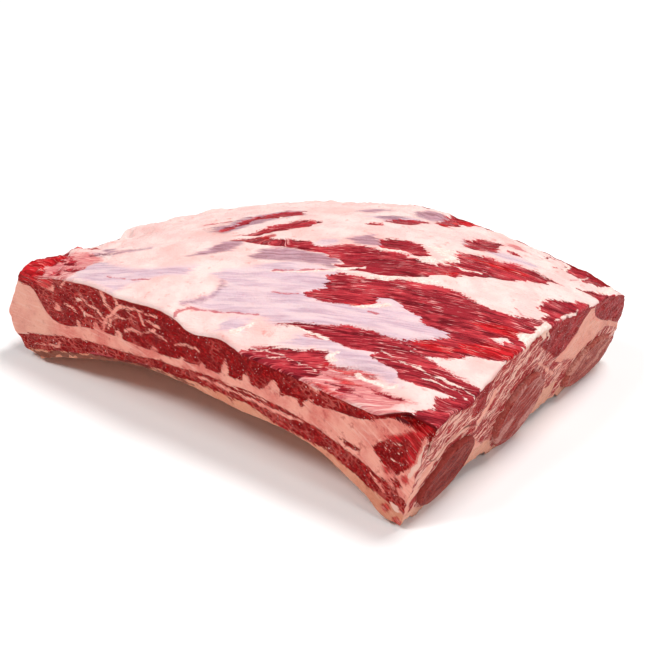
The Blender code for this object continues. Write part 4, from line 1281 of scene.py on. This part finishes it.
def make_rib(number, rib, finish):
    """A bone: a coarse body inside the meat and finely gridded rounded ends."""
    turn = np.arange(RIB_TURNS) * 2 * math.pi / RIB_TURNS
    loops = []

    def loop(u, inset, back):
        """A ring of the bone, drawn in by inset and set back from the end."""
        section = rib_section(rib, np.full(RIB_TURNS, u))
        uneven = 1 + RIB_UNEVENNESS * noise(turn * 2.2, 0 * turn + u, 140 + number)
        share = (1 - inset / section["width"]) * uneven
        rise = section["thick"] * share * np.sin(turn)
        side = section["width"] * share * np.cos(turn) + section["lean"] * rise
        height = section["height"] + rise
        s = along_place(u, height, LEFT_PROUD, rib["proud"])
        loops.append((s + back, section["across"] + side, height, np.full(RIB_TURNS, inset)))

    def end_loop(u, k, inward):
        """Ring k of an end, from its rounded edge to its middle."""
        inset = rib["width"][-1 if u else 0] * (k / END_RINGS) * END_FILL
        loop(u, inset, inward * END_ROUND * (1 - np.sqrt(1 - max(0.0, 1 - inset / END_ROUND) ** 2)))

    for k in range(END_RINGS, -1, -1):
        end_loop(0.0, k, 1)
    for u in RIB_RINGS[1:-1]:
        loop(u, 0.0, 0.0)
    for k in range(END_RINGS + 1):
        end_loop(1.0, k, -1)
    s, t, height, inset = (np.concatenate(part) for part in zip(*loops))
    dent = END_UNEVENNESS * rough(t / 4, height / 4, 90 + number)
    s = s + np.where(s > 0, 1, -1) * (dent - END_SINK) * ease(inset / 3)
    rings = np.arange(len(s)).reshape(-1, RIB_TURNS)
    following = np.roll(rings, -1, axis=1)
    faces = np.stack([following[:-1], following[1:], rings[1:], rings[:-1]], -1)
    faces = faces.reshape(-1, 4).tolist()
    faces += [rings[0][::-1].tolist(), rings[-1].tolist()]
    mesh = bpy.data.meshes.new(f"rib_bone_{number}")
    mesh.from_pydata(bend(s, t, height).tolist(), [], faces)
    grain = np.stack([*turned(height, t, -SIDE_FIBRE_ANGLE), 0 * s], -1)
    return finished_object(mesh, f"bone_{number}", finish, grain, {"rim": inset})


# The studio, in metres: half the side of the floor, its two near whites, and the lights with their
# places, sizes, powers in watts and tints
FLOOR_HALF = 6.0
FLOOR_WHITES = ("FAFAFA", "FCFCFC")
FLOOR_ROUGHNESS = 0.9
WORLD_STRENGTH = 0.2
LIGHT_AIM = (0, 0, 0.03)
LIGHTS = (("overhead", (0.6, 0.8, 2.7), 1.1, 61, (1, 0.985, 0.975)),
          ("from_left", (-0.7, -1.55, 2.3), 0.9, 34, (1, 0.99, 0.985)),
          ("from_right", (2.0, -0.5, 1.7), 0.9, 15, (1, 0.99, 0.98)))


def area_light(name, place, size, power, tint):
    """A round soft light that faces the slab."""
    light = bpy.data.lights.new(name, "AREA")
    light.shape = "DISK"
    light.size = size
    light.energy = power
    light.color = tint
    lamp = bpy.data.objects.new(name, light)
    lamp.location = place
    lamp.rotation_euler = (Vector(LIGHT_AIM) - Vector(place)).to_track_quat("-Z", "Y").to_euler()
    bpy.context.scene.collection.objects.link(lamp)


def studio():
    """A white floor, a large soft light overhead and two weaker ones at the sides."""
    floor = bpy.data.meshes.new("floor")
    corners = [(x * FLOOR_HALF, y * FLOOR_HALF, 0) for x, y in ((-1, -1), (1, -1), (1, 1), (-1, 1))]
    floor.from_pydata(corners, [], [(0, 1, 2, 3)])
    made = bpy.data.objects.new("floor", floor)
    bpy.context.scene.collection.objects.link(made)
    n = Tree("white_table")
    cloud = n.noise(n.node("ShaderNodeTexCoord").outputs["Object"], 3.0)
    n.set(n.shader.inputs["Base Color"], n.mix(cloud, *FLOOR_WHITES))
    n.shader.inputs["Roughness"].default_value = FLOOR_ROUGHNESS
    floor.materials.append(n.material)
    world = bpy.data.worlds.new("studio")
    world.use_nodes = True
    background = world.node_tree.nodes["Background"]
    background.inputs["Color"].default_value = (1, 1, 1, 1)
    background.inputs["Strength"].default_value = WORLD_STRENGTH
    bpy.context.scene.world = world
    for light in LIGHTS:
        area_light(*light)


# The camera, from the fit of the slab's corners to the photograph
CAMERA_TARGET = Vector((0.0099, -0.0106, 0.0334))
CAMERA_AZIMUTH = math.radians(38.2)
CAMERA_ELEVATION = math.radians(29.0)
CAMERA_DISTANCE = 0.806
CAMERA_LENS = 78.14
SENSOR_WIDTH = 36


def camera():
    """The photo's camera."""
    data = bpy.data.cameras.new("camera")
    data.lens = CAMERA_LENS
    data.sensor_width = SENSOR_WIDTH
    made = bpy.data.objects.new("camera", data)
    level = math.cos(CAMERA_ELEVATION)
    back = Vector((math.sin(CAMERA_AZIMUTH) * level, -math.cos(CAMERA_AZIMUTH) * level,
                   math.sin(CAMERA_ELEVATION)))
    made.location = CAMERA_TARGET + back * CAMERA_DISTANCE
    made.rotation_euler = (-back).to_track_quat("-Z", "Y").to_euler()
    bpy.context.scene.collection.objects.link(made)
    bpy.context.scene.camera = made


def make_pieces():
    """The layers and the bones, each on its body and in the place of its solid."""
    meat = tissue("raw_meat", FAT_TOP, FAT_CUT, RED_LINE)
    skin = tissue("rib_membrane", MEMBRANE_FAT, MEMBRANE_FAT, BROWN_LINE)
    layers = (
        (Layer("membrane", underside, membrane_top, 5, shown_bottom=True), skin, "membrane"),
        (Layer("rib_meat", membrane_top, rib_meat_top, 12), meat, "rib_meat"),
        (Layer("fat_seam", rib_meat_top, seam_top, 22), meat, "fat"),
        (Layer("upper_meat", upper_meat_base, upper_face, 30, behind_ledge, shown_top=True),
         meat, "upper_meat"),
    )
    for layer, finish, slot in layers:
        node = layer.name
        piece = layer.make(finish)
        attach(piece, "root")
        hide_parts(node)
    for number, (rib, shades) in enumerate(zip(RIBS, BONES), start=1):
        piece = make_rib(number, rib, bone(f"sawn_bone_{number}", shades))
        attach(piece, "root")
        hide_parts(f"rib_bone_{number}")


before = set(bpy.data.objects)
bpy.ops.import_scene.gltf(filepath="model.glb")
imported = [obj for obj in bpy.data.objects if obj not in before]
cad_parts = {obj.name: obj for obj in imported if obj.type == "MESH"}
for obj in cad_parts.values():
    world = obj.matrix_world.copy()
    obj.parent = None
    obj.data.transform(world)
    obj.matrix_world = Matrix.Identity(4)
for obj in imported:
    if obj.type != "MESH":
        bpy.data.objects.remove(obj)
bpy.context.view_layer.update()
make_pieces()
studio()
camera()
bpy.context.scene.view_settings.view_transform = "Standard"
